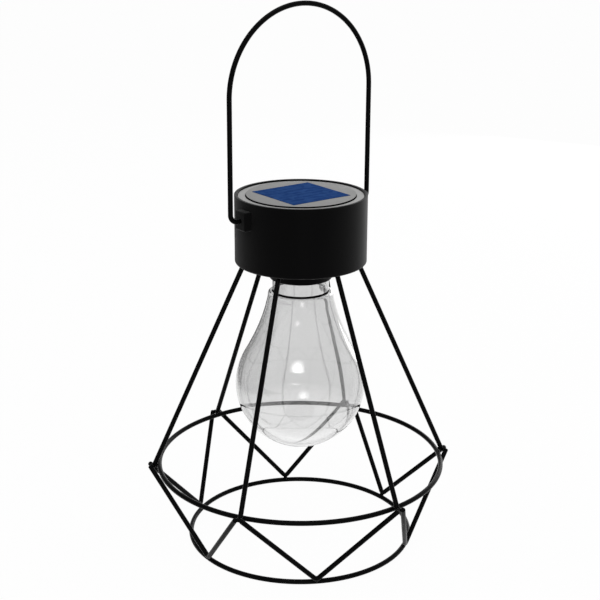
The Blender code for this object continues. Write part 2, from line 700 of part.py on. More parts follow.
# Bulb and socket


def make_socket():
    flange_top = SOCKET_BOTTOM + SOCKET_FLANGE_THICKNESS
    groove = SOCKET_BORE + GROOVE_DEPTH
    profile = [
        (SOCKET_OUTER, SOCKET_TOP),
        (SOCKET_OUTER, flange_top),
        (FLANGE_RADIUS, flange_top),
        (FLANGE_RADIUS, SOCKET_BOTTOM),
        (SOCKET_BORE, SOCKET_BOTTOM),
        (SOCKET_BORE, GROOVE_TOP - GROOVE_HEIGHT),
        (groove, GROOVE_TOP - GROOVE_HEIGHT),
        (groove, GROOVE_TOP),
        (SOCKET_BORE, GROOVE_TOP),
        (SOCKET_BORE, SOCKET_TOP),
    ]
    socket = place(turned("bulb_socket", profile, BULB_STEPS), parts, dark_plastic)
    width = TAB_WIDTH + 2 * TAB_GAP
    height = GROOVE_TOP - TAB_GAP - SOCKET_BOTTOM
    low = SOCKET_BOTTOM - TAB_GAP
    notch = block("bayonet_notch", (2 * groove, width, height), (0, 0, low + height / 2))
    notch.rotation_euler = (0, 0, BAYONET_TURN)
    boolean(socket, as_cutter(notch), "DIFFERENCE")


def bulb_side(wall):
    """Points down one side of the bulb, this far inside its outer surface, from the ledge to the axis."""
    steps = BULB_OUTER_STEPS if wall == 0 else BULB_INNER_STEPS
    centre = DRUM_BOTTOM - BULB_CENTRE_DROP
    radius = BULB_RADIUS - wall
    slope_top = DRUM_BOTTOM - SLOPE_DROP
    start = radius * math.cos(BULB_ROUND_ANGLE), centre + radius * math.sin(BULB_ROUND_ANGLE)
    rise = slope_top - start[1]
    points = []
    for step in range(steps):
        t = 1 - step / steps
        ease = t * t * (3 - 2 * t)
        bow = math.tan(SLOPE_LEAN) * t**2 * (1 - t) - math.tan(BULB_ROUND_ANGLE) * t * (1 - t) ** 2
        radius_here = start[0] + (LEDGE_RADIUS - wall - start[0]) * ease + rise * bow
        points.append((radius_here, start[1] + rise * t))
    body = arc((0, centre), radius, BULB_ROUND_ANGLE, -math.pi / 2, steps)
    return [*points, *body[:-1], (0, centre - radius)]


def make_bulb():
    ledge = DRUM_BOTTOM - LEDGE_DROP
    outer = [
        (SPIGOT_RADIUS, NECK_TOP),
        (SPIGOT_RADIUS, SPIGOT_BOTTOM),
        (NECK_RADIUS, SPIGOT_BOTTOM),
        (NECK_RADIUS, ledge),
        (LEDGE_RADIUS, ledge - LEDGE_EDGE),
        *bulb_side(0),
    ]
    spigot_inner = SPIGOT_RADIUS - BULB_WALL
    neck_inner = NECK_RADIUS - BULB_WALL
    inner = [
        (spigot_inner, NECK_TOP),
        (spigot_inner, SPIGOT_BOTTOM - BULB_WALL),
        (neck_inner, SPIGOT_BOTTOM - BULB_WALL),
        (neck_inner, ledge - LEDGE_EDGE - BULB_WALL),
        *bulb_side(BULB_WALL),
    ]
    bulb = turned("bulb", [*reversed(inner), *outer], BULB_STEPS, loop=False)
    place(bulb, parts, bulb_clear)
    tab_top = GROOVE_TOP - TAB_GAP
    height = GROOVE_HEIGHT - 2 * TAB_GAP
    depth = TAB_REACH + BULB_WALL / 2
    for side in (-1, 1):
        centre = (side * (SPIGOT_RADIUS + TAB_REACH - depth / 2), 0, tab_top - height / 2)
        tab = block(f"bayonet_tab_{side}", (depth, TAB_WIDTH, height), centre)
        boolean(bulb, as_cutter(tab), "UNION")


clear_scene()
parts = new_collection("solar_garden_light")
cutters = new_collection("cutters")

black_wire = new_material("black_painted_wire", (0.012, 0.012, 0.013), 0.42, 0.0)
black_plastic = new_material("black_satin_plastic", (0.010, 0.010, 0.011), 0.38)
grey_plastic = new_material("grey_cover_plastic", (0.36, 0.36, 0.36), 0.5)
dark_plastic = new_material("dark_moulded_plastic", (0.03, 0.03, 0.032), 0.55)
cell_blue = new_material("solar_cell_blue", (0.02, 0.06, 0.24), 0.25)
bulb_clear = new_material("clear_bulb_plastic", (0.92, 0.93, 0.93), 0.05, alpha=0.3)
seal_rubber = new_material("seal_foam_rubber", (0.05, 0.05, 0.05), 0.8)
steel = new_material("plated_steel", (0.62, 0.62, 0.60), 0.3, 1.0)
board_green = new_material("board_laminate", (0.03, 0.16, 0.07), 0.45)
choke_green = new_material("choke_coating", (0.10, 0.28, 0.18), 0.4)
led_clear = new_material("led_epoxy", (0.85, 0.85, 0.78), 0.1, alpha=0.6)
battery_wrap = new_material("battery_sleeve", (0.10, 0.30, 0.16), 0.35)
lead_red = new_material("lead_red", (0.50, 0.02, 0.02), 0.5)
lead_black = new_material("lead_black", (0.02, 0.02, 0.02), 0.5)

make_cage()
make_drum()
make_bail()
make_cover()
make_cell()
make_case()
make_unit_screws()
make_board()
make_led()
make_battery()
make_switch()
make_leads()
make_socket()
make_bulb()
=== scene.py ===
import json
import math

import bmesh
import bpy
from mathutils import Matrix, Vector


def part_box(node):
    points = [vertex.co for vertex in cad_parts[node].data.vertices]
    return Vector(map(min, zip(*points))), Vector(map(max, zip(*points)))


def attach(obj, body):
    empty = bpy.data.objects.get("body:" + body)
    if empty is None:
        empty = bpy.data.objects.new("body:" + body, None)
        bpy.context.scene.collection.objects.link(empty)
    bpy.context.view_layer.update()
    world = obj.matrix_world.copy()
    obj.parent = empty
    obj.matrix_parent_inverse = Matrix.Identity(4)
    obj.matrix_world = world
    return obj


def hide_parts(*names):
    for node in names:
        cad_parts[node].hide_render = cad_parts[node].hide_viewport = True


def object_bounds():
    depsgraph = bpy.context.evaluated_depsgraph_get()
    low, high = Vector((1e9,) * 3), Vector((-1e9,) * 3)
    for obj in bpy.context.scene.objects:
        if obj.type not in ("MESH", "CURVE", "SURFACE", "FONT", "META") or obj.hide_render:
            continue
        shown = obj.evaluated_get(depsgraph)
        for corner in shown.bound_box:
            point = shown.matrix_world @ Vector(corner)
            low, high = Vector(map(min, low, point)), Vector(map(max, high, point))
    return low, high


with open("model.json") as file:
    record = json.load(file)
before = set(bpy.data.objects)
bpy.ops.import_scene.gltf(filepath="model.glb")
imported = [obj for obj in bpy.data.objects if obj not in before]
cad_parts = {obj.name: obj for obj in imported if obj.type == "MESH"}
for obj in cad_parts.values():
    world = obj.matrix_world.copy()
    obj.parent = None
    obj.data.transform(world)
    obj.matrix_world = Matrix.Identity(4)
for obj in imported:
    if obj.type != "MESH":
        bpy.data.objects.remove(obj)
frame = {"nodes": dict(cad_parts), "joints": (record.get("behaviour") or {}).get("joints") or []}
cadLow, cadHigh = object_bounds()
print("frame loaded:", len(frame["nodes"]), "nodes")

mm = 0.001
quarter = math.pi / 2
shadeAngle = math.radians(32)  # edges sharper than this stay crisp
weldLimit = 0.002 * mm  # points closer than this become one
cornerShare = 2.2  # a rounded corner takes less than half of each side


# small helpers


def around(radius, angle, height):
    return Vector((radius * math.cos(angle), radius * math.sin(angle), height))


def arcPoints(centre, radius, start, end, steps):  # (radius, height) pairs in a profile's plane
    angles = [start + (end - start) * step / steps for step in range(steps + 1)]
    return [(centre[0] + radius * math.cos(a), centre[1] + radius * math.sin(a)) for a in angles]


def addObject(name, mesh):
    obj = bpy.data.objects.new(name, mesh)
    bpy.context.scene.collection.objects.link(obj)
    return obj


def pathMesh(name, points, closed=False):
    edges = [(i, i + 1) for i in range(len(points) - 1)]
    if closed:
        edges.append((len(points) - 1, 0))
    mesh = bpy.data.meshes.new(name)
    mesh.from_pydata([tuple(point) for point in points], edges, [])
    return mesh


def profileMesh(name, points):
    return pathMesh(name, [(radius, 0, height) for radius, height in points])


def formMesh(name, form):
    mesh = bpy.data.meshes.new(name)
    form.to_mesh(mesh)
    form.free()
    return mesh


def softShade(mesh):
    mesh.shade_smooth()
    mesh.set_sharp_from_angle(angle=shadeAngle)


def settle(obj):  # what the modifiers make becomes the object's own plain mesh
    bpy.context.view_layer.update()
    shaped = obj.evaluated_get(bpy.context.evaluated_depsgraph_get())
    mesh = bpy.data.meshes.new_from_object(shaped)
    obj.modifiers.clear()
    obj.data = mesh
    mesh.name = obj.name
    softShade(mesh)


def oneFinish(obj, finish):
    obj.data.materials.clear()
    obj.data.materials.append(finish)
    obj.data.polygons.foreach_set("material_index", [0] * len(obj.data.polygons))


def combine(obj, other, operation):
    finish = obj.data.materials[0] if obj.data.materials else None
    modifier = obj.modifiers.new(operation.title(), "BOOLEAN")
    modifier.operation = operation
    modifier.solver = "EXACT"
    modifier.object = other
    settle(obj)
    bpy.data.objects.remove(other)
    if finish:  # the other's faces take it too
        oneFinish(obj, finish)


def roundedBox(name, size, centre, edge, steps=4):
    form = bmesh.new()
    bmesh.ops.create_cube(form, size=1)
    bmesh.ops.scale(form, vec=size, verts=form.verts)
    if edge:
        bmesh.ops.bevel(form, geom=form.edges[:], affect="EDGES",
                        offset=edge, segments=steps, profile=0.5)
    bmesh.ops.translate(form, vec=centre, verts=form.verts)
    return addObject(name, formMesh(name, form))


def roundRod(name, radius, depth, centre, axis, sides=40):
    form = bmesh.new()
    bmesh.ops.create_cone(form, cap_ends=True, segments=sides, depth=depth,
                          radius1=radius, radius2=radius)
    turn = Vector(axis).to_track_quat("Z", "Y").to_matrix().to_4x4()
    bmesh.ops.transform(form, matrix=Matrix.Translation(centre) @ turn, verts=form.verts)
    return addObject(name, formMesh(name, form))


def handIn(obj, body, slot, *nodes):
    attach(obj, body)
    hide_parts(*nodes)


# node trees for shapes


def feed(tree, socket, value):
    if isinstance(value, bpy.types.NodeSocket):
        tree.links.new(value, socket)
    else:
        socket.default_value = value


def addNode(tree, kind, inputs=None, **settings):
    node = tree.nodes.new(kind)
    for key, value in settings.items():
        setattr(node, key, value)
    for socket, value in (inputs or {}).items():
        feed(tree, node.inputs[socket], value)
    return node


def calc(tree, operation, *values):
    node = addNode(tree, "ShaderNodeMath", operation=operation)
    for socket, value in zip(node.inputs, values):
        feed(tree, socket, value)
    return node.outputs[0]


def swing(tree, noise, amount):  # noise about zero, as wide as the amount
    return calc(tree, "MULTIPLY", calc(tree, "SUBTRACT", noise, 0.5), amount)


def ramp(tree, value, span, ends=(0.0, 1.0), kind="LINEAR"):
    wanted = {"Value": value, "From Min": span[0], "From Max": span[1]}
    wanted.update({"To Min": ends[0], "To Max": ends[1]})
    return addNode(tree, "ShaderNodeMapRange", wanted, interpolation_type=kind).outputs[0]


def newTree(name, inputs):
    tree = bpy.data.node_groups.new(name, "GeometryNodeTree")
    tree.interface.new_socket("Geometry", in_out="INPUT", socket_type="NodeSocketGeometry")
    for label, kind in inputs:
        tree.interface.new_socket(label, in_out="INPUT", socket_type="NodeSocket" + kind)
    tree.interface.new_socket("Geometry", in_out="OUTPUT", socket_type="NodeSocketGeometry")
    return tree, addNode(tree, "NodeGroupInput").outputs


def endTree(tree, geometry, finish):
    real = addNode(tree, "GeometryNodeRealizeInstances", {"Geometry": geometry}).outputs[0]
    wanted = {"Geometry": real, "Material": finish}
    dressed = addNode(tree, "GeometryNodeSetMaterial", wanted).outputs[0]
    addNode(tree, "NodeGroupOutput", {"Geometry": dressed})
    return tree


def turnedCopies(tree, geometry, count, firstAngle):  # copies about the lantern's axis
    points = addNode(tree, "GeometryNodePoints", {"Count": count}).outputs[0]
    index = addNode(tree, "GeometryNodeInputIndex").outputs[0]
    step = calc(tree, "DIVIDE", 2 * math.pi, count)
    angle = calc(tree, "ADD", calc(tree, "MULTIPLY", index, step), firstAngle)
    turn = addNode(tree, "ShaderNodeCombineXYZ", {"Z": angle}).outputs[0]
    wanted = {"Points": points, "Instance": geometry, "Rotation": turn}
    return addNode(tree, "GeometryNodeInstanceOnPoints", wanted).outputs[0]


def makeWireTree():
    wanted = [("Wire Diameter", "Float"), ("Sides", "Int"), ("End Round", "Float")]
    wanted += [("Open Ends", "Float"), ("Copies", "Int"), ("Paint", "Material")]
    tree, given = newTree("wireFromPath", wanted)
    curve = addNode(tree, "GeometryNodeMeshToCurve", {"Mesh": given["Geometry"]}).outputs[0]
    along = addNode(tree, "GeometryNodeSplineParameter").outputs["Length"]
    total = addNode(tree, "GeometryNodeSplineLength").outputs["Length"]
    toEnd = calc(tree, "MINIMUM", along, calc(tree, "SUBTRACT", total, along))
    inside = calc(tree, "MINIMUM", calc(tree, "DIVIDE", toEnd, given["End Round"]), 1.0)
    short = calc(tree, "SUBTRACT", 1.0, inside)
    dome = calc(tree, "SQRT", calc(tree, "SUBTRACT", 1.0, calc(tree, "MULTIPLY", short, short)))
    scale = calc(tree, "MAXIMUM", dome, calc(tree, "SUBTRACT", 1.0, given["Open Ends"]))
    radius = calc(tree, "DIVIDE", given["Wire Diameter"], 2.0)
    circle = {"Resolution": given["Sides"], "Radius": radius}
    section = addNode(tree, "GeometryNodeCurvePrimitiveCircle", circle).outputs["Curve"]
    sweep = {"Curve": curve, "Profile Curve": section, "Scale": scale, "Fill Caps": True}
    tube = addNode(tree, "GeometryNodeCurveToMesh", sweep).outputs[0]
    merge = {"Geometry": tube, "Distance": weldLimit}
    tube = addNode(tree, "GeometryNodeMergeByDistance", merge).outputs[0]
    return endTree(tree, turnedCopies(tree, tube, given["Copies"], 0.0), given["Paint"])


def makeLatheTree():
    tree, given = newTree("turnedProfile", [("Steps", "Int"), ("Finish", "Material")])
    path = given["Geometry"]
    count = addNode(tree, "GeometryNodeAttributeDomainSize", {"Geometry": path}).outputs[0]
    columns = calc(tree, "ADD", given["Steps"], 1.0)
    wanted = {"Vertices X": columns, "Vertices Y": count}
    grid = addNode(tree, "GeometryNodeMeshGrid", wanted).outputs[0]
    index = addNode(tree, "GeometryNodeInputIndex").outputs[0]
    row = calc(tree, "MODULO", index, count)
    column = calc(tree, "FLOOR", calc(tree, "DIVIDE", index, count))
    angle = calc(tree, "MULTIPLY", column, calc(tree, "DIVIDE", 2 * math.pi, given["Steps"]))
    place = addNode(tree, "GeometryNodeInputPosition").outputs[0]
    wanted = {"Geometry": path, "Value": place, "Index": row}
    kind = {"data_type": "FLOAT_VECTOR", "domain": "POINT"}
    sample = addNode(tree, "GeometryNodeSampleIndex", wanted, **kind)
    point = addNode(tree, "ShaderNodeSeparateXYZ", {"Vector": sample.outputs[0]}).outputs
    x = calc(tree, "MULTIPLY", point["X"], calc(tree, "COSINE", angle))
    y = calc(tree, "MULTIPLY", point["X"], calc(tree, "SINE", angle))
    spot = addNode(tree, "ShaderNodeCombineXYZ", {"X": x, "Y": y, "Z": point["Z"]}).outputs[0]
    wanted = {"Geometry": grid, "Position": spot}
    turned = addNode(tree, "GeometryNodeSetPosition", wanted).outputs[0]
    merge = {"Geometry": turned, "Distance": weldLimit}
    closed = addNode(tree, "GeometryNodeMergeByDistance", merge).outputs[0]
    return endTree(tree, closed, given["Finish"])


def makeBeadTree():
    wanted = [("Bead Radius", "Float"), ("Fineness", "Int"), ("Seed", "Int")]
    wanted += [("Least Scale", "Vector"), ("Most Scale", "Vector")]
    wanted += [("Lump", "Float"), ("Lump Scale", "Float"), ("Paint", "Material")]
    tree, given = newTree("weldBeads", wanted)
    ball = {"Radius": given["Bead Radius"], "Subdivisions": given["Fineness"]}
    bead = addNode(tree, "GeometryNodeMeshIcoSphere", ball).outputs["Mesh"]
    span = {0: given["Least Scale"], 1: given["Most Scale"], "Seed": given["Seed"]}
    spread = addNode(tree, "FunctionNodeRandomValue", span, data_type="FLOAT_VECTOR").outputs[0]
    span = {1: (math.pi, math.pi, math.pi), "Seed": given["Seed"]}
    turn = addNode(tree, "FunctionNodeRandomValue", span, data_type="FLOAT_VECTOR").outputs[0]
    wanted = {"Points": given["Geometry"], "Instance": bead, "Scale": spread, "Rotation": turn}
    beads = addNode(tree, "GeometryNodeInstanceOnPoints", wanted).outputs[0]
    real = addNode(tree, "GeometryNodeRealizeInstances", {"Geometry": beads}).outputs[0]
    wanted = {"Scale": given["Lump Scale"], "Detail": 1.0}
    noise = addNode(tree, "ShaderNodeTexNoise", wanted).outputs[0]
    normal = addNode(tree, "GeometryNodeInputNormal").outputs[0]
    scaled = {"Vector": normal, "Scale": swing(tree, noise, given["Lump"])}
    push = addNode(tree, "ShaderNodeVectorMath", scaled, operation="SCALE").outputs[0]
    lumpy = addNode(tree, "GeometryNodeSetPosition", {"Geometry": real, "Offset": push}).outputs[0]
    return endTree(tree, lumpy, given["Paint"])


def makeRoundTree():
    wanted = [("Count", "Int"), ("First Angle", "Float"), ("Finish", "Material")]
    tree, given = newTree("copiesRound", wanted)
    copies = turnedCopies(tree, given["Geometry"], given["Count"], given["First Angle"])
    return endTree(tree, copies, given["Finish"])


def makeRowTree():
    wanted = [("Count", "Int"), ("Pitch", "Vector"), ("Finish", "Material")]
    tree, given = newTree("copiesInRow", wanted)
    half = calc(tree, "MULTIPLY", calc(tree, "SUBTRACT", given["Count"], 1.0), -0.5)
    scaled = {"Vector": given["Pitch"], "Scale": half}
    start = addNode(tree, "ShaderNodeVectorMath", scaled, operation="SCALE").outputs[0]
    spots = {"Count": given["Count"], "Start Location": start, "Offset": given["Pitch"]}
    line = addNode(tree, "GeometryNodeMeshLine", spots, mode="OFFSET").outputs[0]
    wanted = {"Points": line, "Instance": given["Geometry"]}
    row = addNode(tree, "GeometryNodeInstanceOnPoints", wanted).outputs[0]
    return endTree(tree, row, given["Finish"])


def grow(name, mesh, tree, values):
    obj = addObject(name, mesh)
    modifier = obj.modifiers.new(tree.name, "NODES")
    modifier.node_group = tree
    for item in tree.interface.items_tree:
        if item.in_out == "INPUT" and item.name in values:
            modifier[item.identifier] = values[item.name]
    settle(obj)
    oneFinish(obj, values.get("Paint") or values["Finish"])
    return obj


wireTree = makeWireTree()
latheTree = makeLatheTree()
beadTree = makeBeadTree()
roundTree = makeRoundTree()
rowTree = makeRowTree()
print("shape trees ready")


# shared surface effects


def newGroup(name, inputs, outputs):
    group = bpy.data.node_groups.new(name, "ShaderNodeTree")
    for label, kind in inputs:
        group.interface.new_socket(label, in_out="INPUT", socket_type="NodeSocket" + kind)
    for label, kind in outputs:
        group.interface.new_socket(label, in_out="OUTPUT", socket_type="NodeSocket" + kind)
    given = addNode(group, "NodeGroupInput").outputs
    return group, given, addNode(group, "NodeGroupOutput").inputs


def noiseAt(tree, vector, scale, detail=2.0):
    wanted = {"Vector": vector, "Scale": scale, "Detail": detail}
    return addNode(tree, "ShaderNodeTexNoise", wanted).outputs["Fac"]


def mixColour(tree, factor, first, second, blend="MIX"):
    node = addNode(tree, "ShaderNodeMix", data_type="RGBA", blend_type=blend)
    feed(tree, node.inputs[0], factor)
    feed(tree, node.inputs[6], first)  # inputs 6 and 7 and output 2 carry colours
    feed(tree, node.inputs[7], second)
    return node.outputs[2]


def shaded(tree, colour, light):  # the colour times a grey
    grey = addNode(tree, "ShaderNodeCombineXYZ", {"X": light, "Y": light, "Z": light}).outputs[0]
    return mixColour(tree, 1.0, colour, grey, "MULTIPLY")


def makeSkinGroup():  # fine skin of a moulding or a paint coat
    inputs = [("Colour", "Color"), ("Grain", "Float"), ("Patch", "Float"), ("Tone", "Float")]
    inputs += [("Roughness", "Float"), ("Spread", "Float")]
    outputs = [("Colour", "Color"), ("Roughness", "Float"), ("Height", "Float")]
    group, given, put = newGroup("mouldSkin", inputs, outputs)
    spot = addNode(group, "ShaderNodeTexCoord").outputs["Object"]
    patch = noiseAt(group, spot, given["Patch"])
    light = calc(group, "ADD", 1.0, swing(group, patch, given["Tone"]))
    feed(group, put["Colour"], shaded(group, given["Colour"], light))
    vary = swing(group, patch, given["Spread"])
    feed(group, put["Roughness"], calc(group, "ADD", given["Roughness"], vary))
    feed(group, put["Height"], noiseAt(group, spot, given["Grain"], detail=3.0))
    return group


def makeDustGroup():  # thin film of dust on what faces up
    inputs = [("Colour", "Color"), ("Dust", "Color"), ("Amount", "Float"), ("Scale", "Float")]
    group, given, put = newGroup("dustFilm", inputs, [("Colour", "Color"), ("Mask", "Float")])
    coords = addNode(group, "ShaderNodeTexCoord").outputs
    up = addNode(group, "ShaderNodeSeparateXYZ", {"Vector": coords["Normal"]}).outputs["Z"]
    facing = calc(group, "MAXIMUM", up, 0.0)
    cloud = noiseAt(group, coords["Object"], given["Scale"], detail=4.0)
    mask = calc(group, "MULTIPLY", calc(group, "MULTIPLY", facing, cloud), given["Amount"])
    feed(group, put["Mask"], mask)
    feed(group, put["Colour"], mixColour(group, mask, given["Colour"], given["Dust"]))
    return group


def makeBrushGroup():  # fine lines of plated or drawn metal
    inputs = [("Colour", "Color"), ("Stretch", "Vector"), ("Scale", "Float"), ("Tone", "Float")]
    group, given, put = newGroup("drawnLines", inputs, [("Colour", "Color"), ("Height", "Float")])
    spot = addNode(group, "ShaderNodeTexCoord").outputs["Object"]
    wanted = {0: spot, 1: given["Stretch"]}
    long = addNode(group, "ShaderNodeVectorMath", wanted, operation="MULTIPLY").outputs[0]
    lines = noiseAt(group, long, given["Scale"], detail=3.0)
    light = calc(group, "ADD", 1.0, swing(group, lines, given["Tone"]))
    feed(group, put["Colour"], shaded(group, given["Colour"], light))
    feed(group, put["Height"], lines)
    return group


skinGroup = makeSkinGroup()
dustGroup = makeDustGroup()
brushGroup = makeBrushGroup()


def newFinish(name, **settings):
    material = bpy.data.materials.new(name)
    material.use_nodes = True
    tree = material.node_tree
    shader = tree.nodes["Principled BSDF"]
    for label, value in settings.items():
        shader.inputs[label.replace("_", " ")].default_value = value
    return material, tree, shader


def useGroup(tree, group, values):
    node = addNode(tree, "ShaderNodeGroup", node_tree=group)
    for label, value in values.items():
        feed(tree, node.inputs[label], value)
    return node.outputs


def addBump(tree, shader, height, strength, depth):
    wanted = {"Height": height, "Strength": strength, "Distance": depth}
    feed(tree, shader.inputs["Normal"], addNode(tree, "ShaderNodeBump", wanted).outputs[0])


def skinFinish(name, colour, roughness, look, **settings):  # look: one of the skins below
    material, tree, shader = newFinish(name, **settings)
    values = {"Colour": (*colour, 1), "Roughness": roughness, "Grain": look["grain"]}
    values.update({"Patch": look["patch"], "Tone": look["tone"], "Spread": look["spread"]})
    skin = useGroup(tree, skinGroup, values)
    shown = skin["Colour"]
    if look.get("dust"):
        film = {"Colour": shown, "Dust": (*look["dustColour"], 1)}
        film.update({"Amount": look["dust"], "Scale": look["patch"]})
        shown = useGroup(tree, dustGroup, film)["Colour"]
    feed(tree, shader.inputs["Base Color"], shown)
    feed(tree, shader.inputs["Roughness"], skin["Roughness"])
    addBump(tree, shader, skin["Height"], look["bump"], look["depth"])
    return material


skins = {
    "paint": {"grain": 900, "patch": 70, "tone": 0.3, "spread": 0.06,
              "bump": 0.05, "depth": 0.02 * mm},
    "satin": {"grain": 3600, "patch": 60, "tone": 0.3, "spread": 0.06,
              "bump": 0.12, "depth": 0.02 * mm},
    "matt": {"grain": 3200, "patch": 90, "tone": 0.12, "spread": 0.1,
             "bump": 0.25, "depth": 0.03 * mm, "dust": 0.05, "dustColour": (0.5, 0.49, 0.47)},
    "soft": {"grain": 1800, "patch": 160, "tone": 0.5, "spread": 0.15,
             "bump": 0.5, "depth": 0.08 * mm},
    "gloss": {"grain": 900, "patch": 120, "tone": 0.25, "spread": 0.06,
              "bump": 0.08, "depth": 0.02 * mm},
}

wirePaint = skinFinish("blackWirePaint", (0.0009, 0.0009, 0.001), 0.28, skins["paint"],
                       Specular_IOR_Level=0.03, Sheen_Weight=0.32, Sheen_Roughness=0.3)
drumPlastic = skinFinish("blackSatinDrum", (0.0006, 0.0006, 0.0007), 0.45, skins["satin"],
                         Specular_IOR_Level=0.02, Sheen_Weight=0.16, Sheen_Roughness=0.45)
rimPlastic = skinFinish("paleCoverRim", (0.385, 0.385, 0.382), 0.5, skins["matt"],
                        Specular_IOR_Level=0.15)
coverPlastic = skinFinish("greyCover", (0.255, 0.255, 0.253), 0.55, skins["matt"],
                          Specular_IOR_Level=0.12)
# near-black finish for the step round the cover's raised disc: painted shade, not a seam
stepShadePaint = skinFinish("paintedShadeCoverStep", (0.004, 0.004, 0.004), 0.6, skins["satin"],
                         Specular_IOR_Level=0.02)
darkPlastic = skinFinish("darkMoulding", (0.03, 0.03, 0.032), 0.55, skins["matt"])
sealFoam = skinFinish("sealFoam", (0.05, 0.05, 0.05), 0.85, skins["soft"])
boardGreen = skinFinish("boardLaminate", (0.03, 0.16, 0.07), 0.42, skins["gloss"])
chokeCoat = skinFinish("chokeCoat", (0.10, 0.28, 0.18), 0.4, skins["gloss"])
batterySleeve = skinFinish("batterySleeve", (0.10, 0.30, 0.16), 0.32, skins["gloss"])
leadRed = skinFinish("redLead", (0.50, 0.02, 0.02), 0.45, skins["gloss"])
leadBlack = skinFinish("blackLead", (0.02, 0.02, 0.02), 0.45, skins["gloss"])
ledEpoxy = skinFinish("ledEpoxy", (0.92, 0.91, 0.80), 0.08, skins["gloss"],
                      Transmission_Weight=0.75, IOR=1.5)


def makeSteel():
    look = {"bump": 0.1, "depth": 0.02 * mm}
    material, tree, shader = newFinish("platedSteel", Metallic=1.0, Roughness=0.28)
    values = {"Colour": (0.62, 0.62, 0.60, 1), "Stretch": (1.0, 1.0, 12.0)}
    lines = useGroup(tree, brushGroup, {**values, "Scale": 700.0, "Tone": 0.25})
    feed(tree, shader.inputs["Base Color"], lines["Colour"])
    addBump(tree, shader, lines["Height"], look["bump"], look["depth"])
    return material


def makeCellFinish():
    look = {"blue": (0.015, 0.047, 0.167, 1), "pale": (0.026, 0.07, 0.215, 1), "flake": 260.0}
    material, tree, shader = newFinish("solarBlue", Roughness=0.45, Specular_IOR_Level=0.0)
    spot = addNode(tree, "ShaderNodeTexCoord").outputs["Object"]
    wanted = {"Vector": spot, "Scale": look["flake"]}
    flakes = addNode(tree, "ShaderNodeTexVoronoi", wanted).outputs["Color"]
    tone = addNode(tree, "ShaderNodeSeparateColor", {"Color": flakes}).outputs[0]
    values = {"Stretch": (1.0, 14.0, 1.0), "Scale": 60.0, "Tone": 0.5}
    values["Colour"] = mixColour(tree, tone, look["blue"], look["pale"])
    feed(tree, shader.inputs["Base Color"], useGroup(tree, brushGroup, values)["Colour"])
    return material


platedSteel = makeSteel()
solarBlue = makeCellFinish()
cellLine = skinFinish("collectorLine", (0.03, 0.075, 0.23), 0.45, skins["gloss"],
                      Specular_IOR_Level=0.0)
# near-black ring at the bulb's neck: a painted reflection of the dark drum
neckReflectionPaint = skinFinish("paintedNeckReflection", (0.003, 0.003, 0.003), 0.5, skins["satin"],
                      Specular_IOR_Level=0.02)
print("finishes ready")


# wire cage

cage = {
    "wire": 3.0 * mm,
    "sides": 24,
    "ringPoints": 240,
    "struts": 6,
    "firstStrut": math.radians(-28.85),
    "strutInset": 5.6 * mm,  # strut's centre inside the drum's wall, at its underside
    "gap": 0.3 * mm,  # between wires that are welded
    "topStand": 4.0 * mm,  # strut end above the drum's underside
    "footDrop": 2.5 * mm,  # strut end past its touch with the waist ring
    "vEndDrop": 1.3 * mm,  # V wire's end past the same touch
    "vEndGap": 0.15 * mm,  # half the gap between two V wires' ends
    "vSeat": math.radians(60),  # up from the base ring's outside
    "vBend": 2.0 * mm,
    "bendSteps": 14,
    "endRound": 0.9 * mm,
    "endSteps": 6,
}

collar = {"drop": 9.9 * mm, "bore": 17.6 * mm, "wall": 1.4 * mm, "edge": 0.5 * mm}  # under the drum
drumLow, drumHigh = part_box("housing_drum")
drumRadius = drumHigh.y
drumBottom = drumLow.z + collar["drop"]
waistLow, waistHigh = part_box("waist_ring")
baseLow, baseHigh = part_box("base_ring")
waistRing = (waistHigh.x - cage["wire"] / 2, (waistLow.z + waistHigh.z) / 2)  # radius, height
baseRing = (baseHigh.x - cage["wire"] / 2, (baseLow.z + baseHigh.z) / 2)


def strutLine():  # top (radius, height), slope, and length down to the touch with the waist ring
    top = (drumRadius - cage["strutInset"], drumBottom)
    out = waistRing[0] - top[0]
    down = top[1] - waistRing[1]
    apart = cage["wire"] + cage["gap"]
    span = math.hypot(out, down)
    slope = math.atan2(out, down) + math.asin(apart / span)
    return top, slope, math.sqrt(span**2 - apart**2)


strutTop, strutSlope, strutTouch = strutLine()


def strutPoint(angle, along):
    out = strutTop[0] + along * math.sin(strutSlope)
    return around(out, angle, strutTop[1] - along * math.cos(strutSlope))


def vWireEnd(angle, side):
    spread = cage["wire"] / 2 + cage["vEndGap"]
    stand = math.sqrt((cage["wire"] + cage["gap"]) ** 2 - spread**2)
    outward = around(math.cos(strutSlope), angle, math.sin(strutSlope))
    alongRing = around(1, angle + quarter, 0)
    on = strutPoint(angle, strutTouch + cage["vEndDrop"])
    return on + stand * outward + side * spread * alongRing


def vSeat(angle):
    apart = cage["wire"] + cage["gap"]
    height = baseRing[1] + apart * math.sin(cage["vSeat"])
    return around(baseRing[0] + apart * math.cos(cage["vSeat"]), angle, height)


def vWirePath(angle):
    pitch = 2 * math.pi / cage["struts"]
    first, last = vWireEnd(angle, 1), vWireEnd(angle + pitch, -1)
    seat = vSeat(angle + pitch / 2)
    rise = ((first + last) / 2 - seat).normalized()
    across = (last - first).normalized()
    centre = seat + cage["vBend"] * rise
    reach = last - centre
    lift = math.atan2(reach.dot(rise), reach.dot(across))
    turn = lift + math.asin(cage["vBend"] / reach.length)
    angles = [turn * (2 * step / cage["bendSteps"] - 1) for step in range(cage["bendSteps"] + 1)]
    bend = [centre + cage["vBend"] * (math.sin(a) * across - math.cos(a) * rise) for a in angles]
    return [first, *bend, last]


